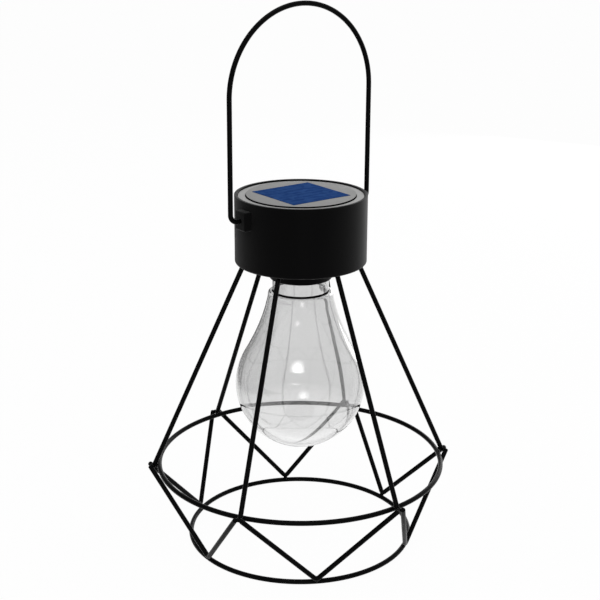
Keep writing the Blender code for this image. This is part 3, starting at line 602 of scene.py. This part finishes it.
def withEnds(points):  # more points near both ends, where the cut wire is rounded
    steps = cage["endSteps"]
    angles = [quarter * step / steps for step in range(1, steps + 1)]
    stops = [cage["endRound"] * (1 - math.cos(angle)) for angle in angles]
    head = (points[1] - points[0]).normalized()
    tail = (points[-2] - points[-1]).normalized()
    first = [points[0] + stop * head for stop in stops]
    last = [points[-1] + stop * tail for stop in reversed(stops)]
    return [points[0], *first, *points[1:-1], *last, points[-1]]


def bentWire(name, points, copies=1, closed=False):
    path = points if closed else withEnds(points)
    values = {"Wire Diameter": cage["wire"], "Sides": cage["sides"], "End Round": cage["endRound"]}
    values.update({"Open Ends": 0.0 if closed else 1.0, "Copies": copies, "Paint": wirePaint})
    return grow(name, pathMesh(name, path, closed), wireTree, values)


def ringPath(radius, height):
    count = cage["ringPoints"]
    return [around(radius, 2 * math.pi * i / count, height) for i in range(count)]


def makeCage():
    numbers = range(1, cage["struts"] + 1)
    waist = bentWire("waistRing", ringPath(*waistRing), closed=True)
    handIn(waist, "lantern", "black_wire", "waist_ring")
    base = bentWire("baseRing", ringPath(*baseRing), closed=True)
    handIn(base, "lantern", "black_wire", "base_ring")
    first = cage["firstStrut"]
    top = strutPoint(first, -cage["topStand"] / math.cos(strutSlope))
    foot = strutPoint(first, strutTouch + cage["footDrop"])
    struts = bentWire("cageStruts", [top, foot], cage["struts"])
    handIn(struts, "lantern", "black_wire", *[f"cage_strut_{i}" for i in numbers])
    lower = bentWire("lowerWires", vWirePath(first), cage["struts"])
    handIn(lower, "lantern", "black_wire", *[f"lower_v_wire_{i}" for i in numbers])


welds = {"bead": 1.35 * mm, "fineness": 3, "lump": 0.5 * mm, "lumpScale": 900.0, "seed": 7,
         "leastScale": Vector((0.85, 0.85, 0.7)), "mostScale": Vector((1.15, 1.15, 1.0))}


def makeWelds():
    spots = []
    pitch = 2 * math.pi / cage["struts"]
    for number in range(cage["struts"]):
        angle = cage["firstStrut"] + number * pitch
        touch = strutPoint(angle, strutTouch)
        spots.append((touch + around(waistRing[0], angle, waistRing[1])) / 2)
        on = strutPoint(angle, strutTouch + cage["vEndDrop"])
        for side in (-1, 1):
            spots.append((on + vWireEnd(angle, side)) / 2)
        middle = angle + pitch / 2
        spots.append((vSeat(middle) + around(baseRing[0], middle, baseRing[1])) / 2)
    mesh = bpy.data.meshes.new("weldSpots")
    mesh.from_pydata([tuple(spot) for spot in spots], [], [])
    values = {"Bead Radius": welds["bead"], "Fineness": welds["fineness"], "Seed": welds["seed"]}
    values.update({"Least Scale": welds["leastScale"], "Most Scale": welds["mostScale"]})
    values.update({"Lump": welds["lump"], "Lump Scale": welds["lumpScale"], "Paint": wirePaint})
    beads = grow("cageWelds", mesh, beadTree, values)
    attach(beads, "lantern")


makeCage()
makeWelds()
print("cage bent and welded")


# bail

bail = {"hook": 4.6 * mm, "lean": math.radians(0.15), "hookSteps": 14, "archSteps": 72,
        "lugFace": drumHigh.x, "hookInside": 4.8 * mm}
bailJoint = next(joint for joint in frame["joints"] if joint["name"] == "bail_swing")
bailPivot = Vector(bailJoint["pos_m"])


def makeBail():
    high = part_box("bail_handle")[1]
    half = high.x - cage["wire"] / 2
    leg = (high.z - cage["wire"] / 2 - bailPivot.z) / math.cos(bail["lean"]) - half
    corner = (half - bail["hook"], bail["hook"])
    hook = [(bail["lugFace"] - bail["hookInside"], 0)]
    hook += arcPoints(corner, bail["hook"], -quarter, 0, bail["hookSteps"])
    arch = arcPoints((0, leg), half, 0, math.pi, bail["archSteps"])
    flat = [*hook, *arch, *[(-x, z) for x, z in reversed(hook)]]
    turn = Matrix.Translation(bailPivot) @ Matrix.Rotation(bail["lean"], 4, "X")
    handle = bentWire("bailWire", [turn @ Vector((x, 0, z)) for x, z in flat])
    handIn(handle, "bail", "black_wire", "bail_handle")


makeBail()
print("bail bent")


# drum

drum = {
    "wall": 1.9 * mm,
    "floor": 2.0 * mm,
    "fillet": 1.4 * mm,
    "filletSteps": 16,
    "innerFillet": 0.4 * mm,
    "insideSteps": 8,
    "rimEdge": 0.35 * mm,
    "steps": 180,
    "lug": Vector((5.4, 10.4, 11.4)) * mm,
    "lugEdge": 1.0 * mm,
    "bore": 1.8 * mm,  # radius, for the bail's hooks
    "boreDepth": 5.3 * mm,
    "screwHole": 1.6 * mm,
    "slot": Vector((6.6, 3.2)) * mm,
    "past": 4.0 * mm,  # how far a cutter runs past the wall
}


def turnedPiece(name, points, steps, finish):
    return grow(name, profileMesh(name, points), latheTree, {"Steps": steps, "Finish": finish})


def roundStep(points, edge, steps=4):  # rounds each inner corner of an open profile by at most edge
    out = [points[0]]
    for before, here, after in zip(points, points[1:], points[2:]):
        start, corner, end = Vector(before), Vector(here), Vector(after)
        cut = min(edge, (corner - start).length / cornerShare, (end - corner).length / cornerShare)
        first = corner + cut * (start - corner).normalized()
        last = corner + cut * (end - corner).normalized()
        for step in range(steps + 1):
            t = step / steps
            out.append(tuple((1 - t) ** 2 * first + 2 * t * (1 - t) * corner + t * t * last))
    return [*out, points[-1]]


def screwSpots():
    boxes = [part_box(f"unit_screw_{number}") for number in (1, 2, 3)]
    return [(low + high) / 2 for low, high in boxes]


def switchSpot():
    low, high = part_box("switch_body")
    return (low + high) / 2


def makeDrum():
    inner = drumRadius - drum["wall"]
    floorTop = drumBottom + drum["floor"]
    fillet, inside = drum["fillet"], drum["innerFillet"]
    bottom, top = drumBottom, drumHigh.z
    rim = collar["bore"] + collar["wall"]
    points = roundStep([(collar["bore"], floorTop), (collar["bore"], drumLow.z), (rim, drumLow.z),
                        (rim, bottom), (drumRadius - 2 * fillet, bottom)], collar["edge"])
    centre = (drumRadius - fillet, bottom + fillet)
    points += arcPoints(centre, fillet, -quarter, 0, drum["filletSteps"])
    points += roundStep([(drumRadius, bottom + 2 * fillet), (drumRadius, top), (inner, top),
                         (inner, top - fillet)], drum["rimEdge"])
    centre = (inner - inside, floorTop + inside)
    points += arcPoints(centre, inside, 0, -quarter, drum["insideSteps"])
    points += [(collar["bore"], floorTop)]
    shell = turnedPiece("drumShell", points, drum["steps"], drumPlastic)
    for side in (-1, 1):
        centre = Vector((side * (drumHigh.x - drum["lug"].x / 2), 0, bailPivot.z))
        combine(shell, roundedBox("lug", drum["lug"], centre, drum["lugEdge"]), "UNION")
        mouth = Vector((side * drumHigh.x, 0, bailPivot.z))
        bore = roundRod("bore", drum["bore"], 2 * drum["boreDepth"], mouth, (1, 0, 0))
        combine(shell, bore, "DIFFERENCE")
    through = drum["floor"] + 2 * drum["past"]
    free = cage["wire"] / 2 + cage["gap"]
    for number in range(cage["struts"]):
        angle = cage["firstStrut"] + 2 * math.pi * number / cage["struts"]
        down = around(math.sin(strutSlope), angle, -math.cos(strutSlope))
        hole = roundRod("strutHole", free, through, strutPoint(angle, 0), down)
        combine(shell, hole, "DIFFERENCE")
    for spot in screwSpots():
        centre = Vector((spot.x, spot.y, floorTop))
        hole = roundRod("screwHole", drum["screwHole"], through, centre, (0, 0, 1))
        combine(shell, hole, "DIFFERENCE")
    spot = switchSpot()
    slot = roundedBox("slot", (*drum["slot"], through), (spot.x, spot.y, floorTop), 0)
    combine(shell, slot, "DIFFERENCE")
    handIn(shell, "lantern", "black_plastic", "housing_drum")


makeDrum()
print("drum turned")


# cover and solar cell

cover = {"discRadius": 33.0 * mm, "recess": 0.9 * mm, "edge": 0.12 * mm, "steps": 180,
         "groove": 0.4 * mm, "grooveDepth": 0.35 * mm, "cellGap": 0.3 * mm,
         "slack": 0.02 * mm}  # for picking faces
cell = {"edge": 0.12 * mm, "lines": 7, "lineWidth": 0.8 * mm, "lineHeight": 0.06 * mm,
        "lineInset": 0.9 * mm}


def makeCover():
    low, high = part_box("top_cover")
    rim = drumHigh.z - cover["recess"]
    radius = high.y
    disc = cover["discRadius"]
    groove, sunk = disc + cover["groove"], rim - cover["grooveDepth"]
    points = roundStep([(0, low.z), (radius, low.z), (radius, rim), (groove, rim), (groove, sunk),
                        (disc, sunk), (disc, high.z), (0, high.z)], cover["edge"])
    lid = turnedPiece("topCover", points, cover["steps"], coverPlastic)
    cellLow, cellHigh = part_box("solar_cell")
    size = cellHigh - cellLow + Vector((2, 2, 2)) * cover["cellGap"]
    combine(lid, roundedBox("recess", size, (cellLow + cellHigh) / 2, 0), "DIFFERENCE")
    lid.data.materials.append(stepShadePaint)
    lid.data.materials.append(rimPlastic)
    for face in lid.data.polygons:  # the step round the raised disc and its groove get a near-black finish: painted shade in the gap
        corners = [lid.data.vertices[i].co for i in face.vertices]
        out = [co.xy.length for co in corners]
        near = disc - cover["slack"] < min(out) and max(out) < groove - cover["edge"] / 2
        if near and sunk - cover["edge"] < face.center.z < high.z - cover["edge"] / 2:
            face.material_index = 1
        elif min(out) > groove - cover["edge"]:
            face.material_index = 2
    handIn(lid, "lantern", "grey_plastic", "top_cover")


def makeCell():
    low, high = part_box("solar_cell")
    slab = roundedBox("solarCell", high - low, (low + high) / 2, cell["edge"], steps=2)
    slab.data.materials.append(solarBlue)
    softShade(slab.data)
    handIn(slab, "lantern", "solar_blue", "solar_cell")
    side = high.x - low.x
    length = side - 2 * cell["lineInset"]
    centre = (0, 0, high.z)
    strip = roundedBox("strip", (length, cell["lineWidth"], cell["lineHeight"]), centre, 0)
    pitch = Vector((0, side / (cell["lines"] + 1), 0))
    values = {"Count": cell["lines"], "Pitch": pitch, "Finish": cellLine}
    lines = grow("collectorLines", strip.data, rowTree, values)
    bpy.data.objects.remove(strip)
    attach(lines, "lantern")


makeCover()
makeCell()
print("cover and cell in place")


# bulb

bulb = {
    "wall": 1.3 * mm,
    "radius": 40.24 * mm,
    "centre": drumBottom - 78.9 * mm,
    "roundAngle": math.radians(30.3),
    "ledge": drumBottom - 18.7 * mm,
    "ledgeRadius": 19.86 * mm,
    "ledgeEdge": 0.2 * mm,
    "ledgeRound": 1.0 * mm,
    "slopeTop": drumBottom - 20.26 * mm,
    "slopeLean": math.radians(10.1),  # slope at its top, from upright
    "neck": 17.2 * mm,
    "darkLine": 1.3 * mm,  # height of the painted dark reflection at the neck's foot
    "spigot": 15.2 * mm,
    "spigotBottom": drumLow.z + 3.0 * mm,
    "corner": 0.5 * mm,
    "footRound": 0.3 * mm,
    "paleBelow": 74 * mm,  # heights where the grey begins and is full: the glass's tint, painted darker towards the top as shade
    "greyAbove": 88 * mm,
    "throatLow": 156.0 * mm,  # the inner wall draws in to the neck between these heights
    "throatHigh": 168.0 * mm,
    "throatSteps": 16,
    "steps": 144,
    "arcSteps": 40,
    "slopeSteps": 24,
    "tab": Vector((2.15, 5.0, 2.2)) * mm,
    "tabReach": 1.5 * mm,
    "tabDrop": 4.1 * mm,  # tab's middle below the mouth
    "slack": 0.05 * mm,  # for picking faces
}


def makeBulbFinish():
    look = {"top": (0.77, 0.77, 0.77, 1), "bottom": (1, 1, 1, 1),
            "rim": (0.6, 0.85), "rimTone": 0.5}
    clear = {"Transmission_Weight": 1.0, "IOR": 1.45, "Coat_Weight": 1.0}
    material, tree, shader = newFinish("clearBulb", **clear)
    spot = addNode(tree, "ShaderNodeTexCoord").outputs["Object"]
    height = addNode(tree, "ShaderNodeSeparateXYZ", {"Vector": spot}).outputs["Z"]
    # grey towards the top: partly the glass's tint, partly painted shade for the darker room
    # reflected above
    rise = ramp(tree, height, (bulb["paleBelow"], bulb["greyAbove"]))
    values = {"Grain": 300.0, "Patch": 40.0, "Tone": 0.04, "Roughness": 0.025, "Spread": 0.015}
    values["Colour"] = mixColour(tree, rise, look["bottom"], look["top"])
    skin = useGroup(tree, skinGroup, values)
    edge = addNode(tree, "ShaderNodeLayerWeight", {"Blend": 0.5}).outputs["Facing"]
    dim = ramp(tree, edge, look["rim"], (1.0, look["rimTone"]))  # darker at the rim: more wall to look through there, and painted shade for the dark room reflected at the rim
    feed(tree, shader.inputs["Base Color"], shaded(tree, skin["Colour"], dim))
    feed(tree, shader.inputs["Roughness"], skin["Roughness"])
    return material


clearBulb = makeBulbFinish()


def bulbSide(wall):  # from the bottom's pole up to the top of the slope
    radius = bulb["radius"] - wall
    body = arcPoints((0, bulb["centre"]), radius, -quarter, bulb["roundAngle"], bulb["arcSteps"])
    start = body[-1]
    rise = bulb["slopeTop"] - start[1]
    top = bulb["ledgeRadius"] - wall
    slope = []
    for step in range(1, bulb["slopeSteps"] + 1):
        t = step / bulb["slopeSteps"]
        ease = t * t * (3 - 2 * t)
        bow = math.tan(bulb["slopeLean"]) * t**2 * (1 - t)
        bow -= math.tan(bulb["roundAngle"]) * t * (1 - t) ** 2
        slope.append((start[0] + (top - start[0]) * ease + rise * bow, start[1] + rise * t))
    return [(0, body[0][1]), *body[1:], *slope]


def throat(before, start, end):  # an easy curve from the slope into the neck
    points = []
    rise = bulb["throatHigh"] - start[1]
    lean = (start[0] - before[0]) / (start[1] - before[1])
    for step in range(1, bulb["throatSteps"] + 1):
        t = step / bulb["throatSteps"]
        ease = t * t * (3 - 2 * t)
        bow = rise * lean * t * (1 - t) ** 2
        points.append((start[0] + (end - start[0]) * ease + bow, start[1] + rise * t))
    return points


def makeBulb():
    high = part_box("bulb")[1]
    wall, neck, spigot = bulb["wall"], bulb["neck"], bulb["spigot"]
    ledge, step = bulb["ledge"], bulb["spigotBottom"]
    outer = [point for point in bulbSide(0) if point[1] < bulb["slopeTop"] - bulb["ledgeRound"]]
    inside = [point for point in bulbSide(wall) if point[1] < bulb["throatLow"]]
    inside += throat(inside[-2], inside[-1], neck - wall)
    lineTop = ledge + bulb["darkLine"]
    foot = (neck + bulb["footRound"], ledge)
    brim = (bulb["ledgeRadius"], ledge - bulb["ledgeEdge"])
    shoulder = roundStep([outer[-1], brim, foot], bulb["ledgeRound"])
    shoulder += roundStep([foot, (neck, ledge), (neck, lineTop)], bulb["footRound"])[1:]
    shoulder += roundStep([(neck, lineTop), (neck, step), (spigot, step), (spigot, high.z),
                           (spigot - wall, high.z), (spigot - wall, step - wall),
                           (neck - wall, step - wall), inside[-1]], bulb["corner"])[1:]
    points = [*outer[:-1], *shoulder, *reversed(inside[:-1])]
    glass = turnedPiece("bulbShell", points, bulb["steps"], clearBulb)
    for side in (-1, 1):
        out = side * (spigot + bulb["tabReach"] - bulb["tab"].x / 2)
        centre = Vector((out, 0, high.z - bulb["tabDrop"]))
        combine(glass, roundedBox("tab", bulb["tab"], centre, 0), "UNION")
    glass.data.materials.append(neckReflectionPaint)
    for face in glass.data.polygons:  # painted dark reflection of the drum, at the neck's foot
        beside = neck - bulb["slack"] < face.center.xy.length < neck + bulb["footRound"]
        if beside and ledge - bulb["slack"] < face.center.z < lineTop:
            face.material_index = 1
    handIn(glass, "bulb", "clear_bulb", "bulb")


led = {"radius": 2.5 * mm, "flange": 2.9 * mm, "flangeHeight": 1.0 * mm, "steps": 40,
       "domeSteps": 14}


def makeLed():
    low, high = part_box("led")
    dome = low.z + led["radius"]
    points = [(0, low.z), *arcPoints((0, dome), led["radius"], -quarter, 0, led["domeSteps"])[1:]]
    shelf = high.z - led["flangeHeight"]
    points += [(led["radius"], shelf), (led["flange"], shelf), (led["flange"], high.z), (0, high.z)]
    handIn(turnedPiece("ledDome", points, led["steps"], ledEpoxy), "lantern", "led_epoxy", "led")


makeBulb()
makeLed()
print("bulb and led in place")


# underside: screws and switch

screw = {"count": 3, "radius": 1.3 * mm, "head": 2.8 * mm, "headHeight": 1.8 * mm, "steps": 40,
         "crown": [(0.55, 0), (0.86, 0.3), (1, 0.65), (1, 1)],  # shares of radius and height
         "slotWidth": 0.8 * mm, "slotLength": 3.2 * mm, "slotDepth": 1.0 * mm}
slider = {"knob": Vector((4.4, 2.6, 2.0)) * mm, "stem": Vector((3.0, 2.6)) * mm, "edge": 0.3 * mm,
          "stemShare": 0.999,  # keeps the stem's sides off the knob's
          "ribs": 4, "rib": Vector((0.45, 2.2, 0.5)) * mm, "ribPitch": 0.95 * mm}


def makeScrews():
    low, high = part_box("unit_screw_1")
    spot = screwSpots()[0]
    head, height = screw["head"], screw["headHeight"]
    neck = low.z + height
    points = [(0, low.z), *[(out * head, low.z + up * height) for out, up in screw["crown"]]]
    points += [(screw["radius"], neck), (screw["radius"], high.z - screw["radius"]), (0, high.z)]
    one = turnedPiece("unitScrews", points, screw["steps"], platedSteel)
    long, wide = screw["slotLength"], screw["slotWidth"]
    for size in ((long, wide), (wide, long)):
        notch = roundedBox("notch", (*size, 2 * screw["slotDepth"]), (0, 0, low.z), 0)
        combine(one, notch, "DIFFERENCE")
    one.data.transform(Matrix.Translation((math.hypot(spot.x, spot.y), 0, 0)))
    first = math.atan2(spot.y, spot.x)
    values = {"Count": screw["count"], "First Angle": first, "Finish": platedSteel}
    screws = grow("floorScrews", one.data, roundTree, values)
    bpy.data.objects.remove(one)
    handIn(screws, "lantern", "steel", *[f"unit_screw_{number}" for number in (1, 2, 3)])


def makeSlider():
    low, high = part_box("switch_slider")
    middle = (low + high) / 2
    knobTop = low.z + slider["knob"].z
    centre = (middle.x, middle.y, (low.z + knobTop) / 2)
    knob = roundedBox("switchKnob", slider["knob"], centre, slider["edge"])
    stemHeight = high.z - knobTop + slider["edge"]
    stemSize = (*slider["stem"] * slider["stemShare"], stemHeight)
    stem = roundedBox("stem", stemSize, (middle.x, middle.y, high.z - stemHeight / 2), 0)
    combine(knob, stem, "UNION")
    oneFinish(knob, coverPlastic)
    handIn(knob, "switch", "grey_plastic", "switch_slider")
    rib = roundedBox("rib", slider["rib"], (middle.x, middle.y, low.z), slider["edge"] / 2, steps=2)
    pitch = Vector((slider["ribPitch"], 0, 0))
    values = {"Count": slider["ribs"], "Pitch": pitch, "Finish": coverPlastic}
    ribs = grow("switchRibs", rib.data, rowTree, values)
    bpy.data.objects.remove(rib)
    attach(ribs, "switch")


makeScrews()
makeSlider()
print("underside fitted")


# finishes of the pieces inside the drum

innerFinishes = {
    "cover_seal": sealFoam,
    "unit_case": darkPlastic,
    "circuit_board": boardGreen,
    "controller_chip": darkPlastic,
    "choke_coil": chokeCoat,
    "battery_holder": darkPlastic,
    "rechargeable_battery": batterySleeve,
    "battery_plate": platedSteel,
    "battery_spring": platedSteel,
    "switch_body": darkPlastic,
    "bulb_socket": darkPlastic,
    "solar_lead_red": leadRed,
    "solar_lead_black": leadBlack,
    "battery_lead_red": leadRed,
    "battery_lead_black": leadBlack,
    "switch_lead_red": leadRed,
    "switch_lead_black": leadBlack,
}
for node, finish in innerFinishes.items():
    slots = frame["nodes"][node].data.materials
    slots.clear()
    slots.append(finish)
print("inner pieces finished")


# stage, light and camera

stage = {
    "floorRadius": 8.0,
    "floorSides": 96,
    "floorDrop": 0.1 * mm,
    "floorColour": (0.9, 0.9, 0.9, 1),
    "shown": 0.965,  # plain white share of the floor, the rest takes shadow
    "ambient": 0.55,  # room light on matt faces
    "dimSide": Vector((-0.39, 0.92, 0)),
    "dimFall": (0.5, 0.9),  # cosines of the angle to the dim side
    "dimFloor": (0.2, 0.45),  # metres on the floor
    "dimTone": 0.08,
}
lamps = {  # degrees, azimuth from the front; sizes across and up; past its glow a lamp fades
    "frontSoft": {"azimuth": -43.5, "elevation": 36, "distance": 1.1, "size": (0.62, 0.18),
                  "power": 2.5, "glow": 0.1},
    "sparkSoft": {"azimuth": -46, "elevation": 14.6, "distance": 1.1, "size": (0.45, 0.1),
                  "power": 0.28, "glow": 0.0},
    "lowSoft": {"azimuth": -31.5, "elevation": -7.3, "distance": 0.9, "size": (0.4, 0.45),
                "power": 2.2, "glow": 0.0},
    "topSoft": {"azimuth": 20, "elevation": 80, "distance": 1.3, "size": (0.9, 0.9),
                "power": 4.2},
    "leftSoft": {"azimuth": -110, "elevation": 30, "distance": 1.4, "size": (0.8, 0.8),
                 "power": 0.2},
    "rightSoft": {"azimuth": 116, "elevation": 9, "distance": 1.3, "size": (1.0, 1.0),
                  "power": 5.5},
}
view = {"distance": 762.3 * mm, "height": 403.613 * mm, "azimuth": math.radians(-37.045),
        "pitch": math.radians(17.996), "yaw": math.radians(0.028), "roll": math.radians(0.224),
        "focalPixels": 1307.989, "framePixels": 600, "sensor": 36.0}


def fallOff(tree, spot, span):  # what gloss shows: white, but dim to one side
    way = {0: spot, 1: stage["dimSide"]}
    reach = addNode(tree, "ShaderNodeVectorMath", way, operation="DOT_PRODUCT").outputs["Value"]
    return ramp(tree, reach, span, (1.0, stage["dimTone"]), "SMOOTHSTEP")


def seenDirectly(tree, mirrored):  # camera and glass rays see white, mirror rays see this tone
    path = addNode(tree, "ShaderNodeLightPath").outputs
    plain = calc(tree, "MAXIMUM", path["Is Camera Ray"], path["Is Transmission Ray"])
    mirror = calc(tree, "MULTIPLY", path["Is Glossy Ray"], mirrored)
    return calc(tree, "MAXIMUM", plain, mirror), path


def makeFloor():
    form = bmesh.new()
    bmesh.ops.create_circle(form, cap_ends=True, segments=stage["floorSides"],
                            radius=stage["floorRadius"])
    bmesh.ops.translate(form, vec=(0, 0, cadLow.z - stage["floorDrop"]), verts=form.verts)
    floor = addObject("paleFloor", formMesh("paleFloor", form))
    material, tree, shader = newFinish("paleFloor", Roughness=0.9, Specular_IOR_Level=0.0)
    shader.inputs["Base Color"].default_value = stage["floorColour"]
    glow = addNode(tree, "ShaderNodeEmission", {"Color": (1, 1, 1, 1), "Strength": 1.0})
    spot = addNode(tree, "ShaderNodeTexCoord").outputs["Object"]
    shown, path = seenDirectly(tree, fallOff(tree, spot, stage["dimFloor"]))
    plain = calc(tree, "MULTIPLY", shown, stage["shown"])
    dim = addNode(tree, "ShaderNodeMixShader", {0: path["Is Glossy Ray"], 1: shader.outputs[0]})
    mix = addNode(tree, "ShaderNodeMixShader", {0: plain, 1: dim.outputs[0], 2: glow.outputs[0]})
    feed(tree, tree.nodes["Material Output"].inputs["Surface"], mix.outputs[0])
    floor.data.materials.append(material)


def makeWorld():
    world = bpy.data.worlds.new("paleRoom")
    world.use_nodes = True
    tree = world.node_tree
    back = tree.nodes["Background"]
    back.inputs["Color"].default_value = (1, 1, 1, 1)
    spot = addNode(tree, "ShaderNodeTexCoord").outputs["Generated"]
    shown, path = seenDirectly(tree, fallOff(tree, spot, stage["dimFall"]))
    dull = calc(tree, "SUBTRACT", 1.0, path["Is Glossy Ray"])
    soft = calc(tree, "MULTIPLY", dull, stage["ambient"])
    feed(tree, back.inputs["Strength"], calc(tree, "MAXIMUM", shown, soft))
    bpy.context.scene.world = world


def glowOut(light, core):  # brightest in the middle and soft at the edge
    light.use_nodes = True
    tree = light.node_tree
    spot = addNode(tree, "ShaderNodeNewGeometry").outputs["Parametric"]
    half = 0.5  # the lamp's middle, and its edge's distance from there
    middle = {0: spot, 1: (half, half, 0)}
    reach = addNode(tree, "ShaderNodeVectorMath", middle, operation="DISTANCE").outputs["Value"]
    glow = ramp(tree, reach, (core, half), (1.0, 0.0), "SMOOTHSTEP")
    feed(tree, tree.nodes["Emission"].inputs["Strength"], glow)


def makeLamps():
    target = (cadLow + cadHigh) / 2
    for name, lamp in lamps.items():
        light = bpy.data.lights.new(name, "AREA")
        light.shape = "ELLIPSE"
        light.size, light.size_y = lamp["size"]
        light.energy = lamp["power"]
        if "glow" in lamp:
            glowOut(light, lamp["glow"])
        obj = addObject(name, light)
        a, e = math.radians(lamp["azimuth"]), math.radians(lamp["elevation"])
        back = Vector((math.sin(a) * math.cos(e), -math.cos(a) * math.cos(e), math.sin(e)))
        obj.location = target + lamp["distance"] * back
        obj.rotation_euler = back.to_track_quat("Z", "Y").to_euler()
        obj.visible_camera = False
        obj.visible_transmission = False


def makeCamera():
    data = bpy.data.cameras.new("photoCamera")
    data.sensor_width = view["sensor"]
    data.lens = view["focalPixels"] * view["sensor"] / view["framePixels"]
    camera = addObject("photoCamera", data)
    out, angle = view["distance"], view["azimuth"]
    camera.location = (out * math.sin(angle), -out * math.cos(angle), view["height"])
    turn = Matrix.Rotation(angle + view["yaw"], 3, "Z")
    tilt = Matrix.Rotation(quarter - view["pitch"], 3, "X")
    camera.rotation_euler = (turn @ tilt @ Matrix.Rotation(view["roll"], 3, "Z")).to_euler()
    bpy.context.scene.camera = camera


makeFloor()
makeWorld()
makeLamps()
makeCamera()
bpy.context.scene.view_settings.view_transform = "Standard"
print("stage set")
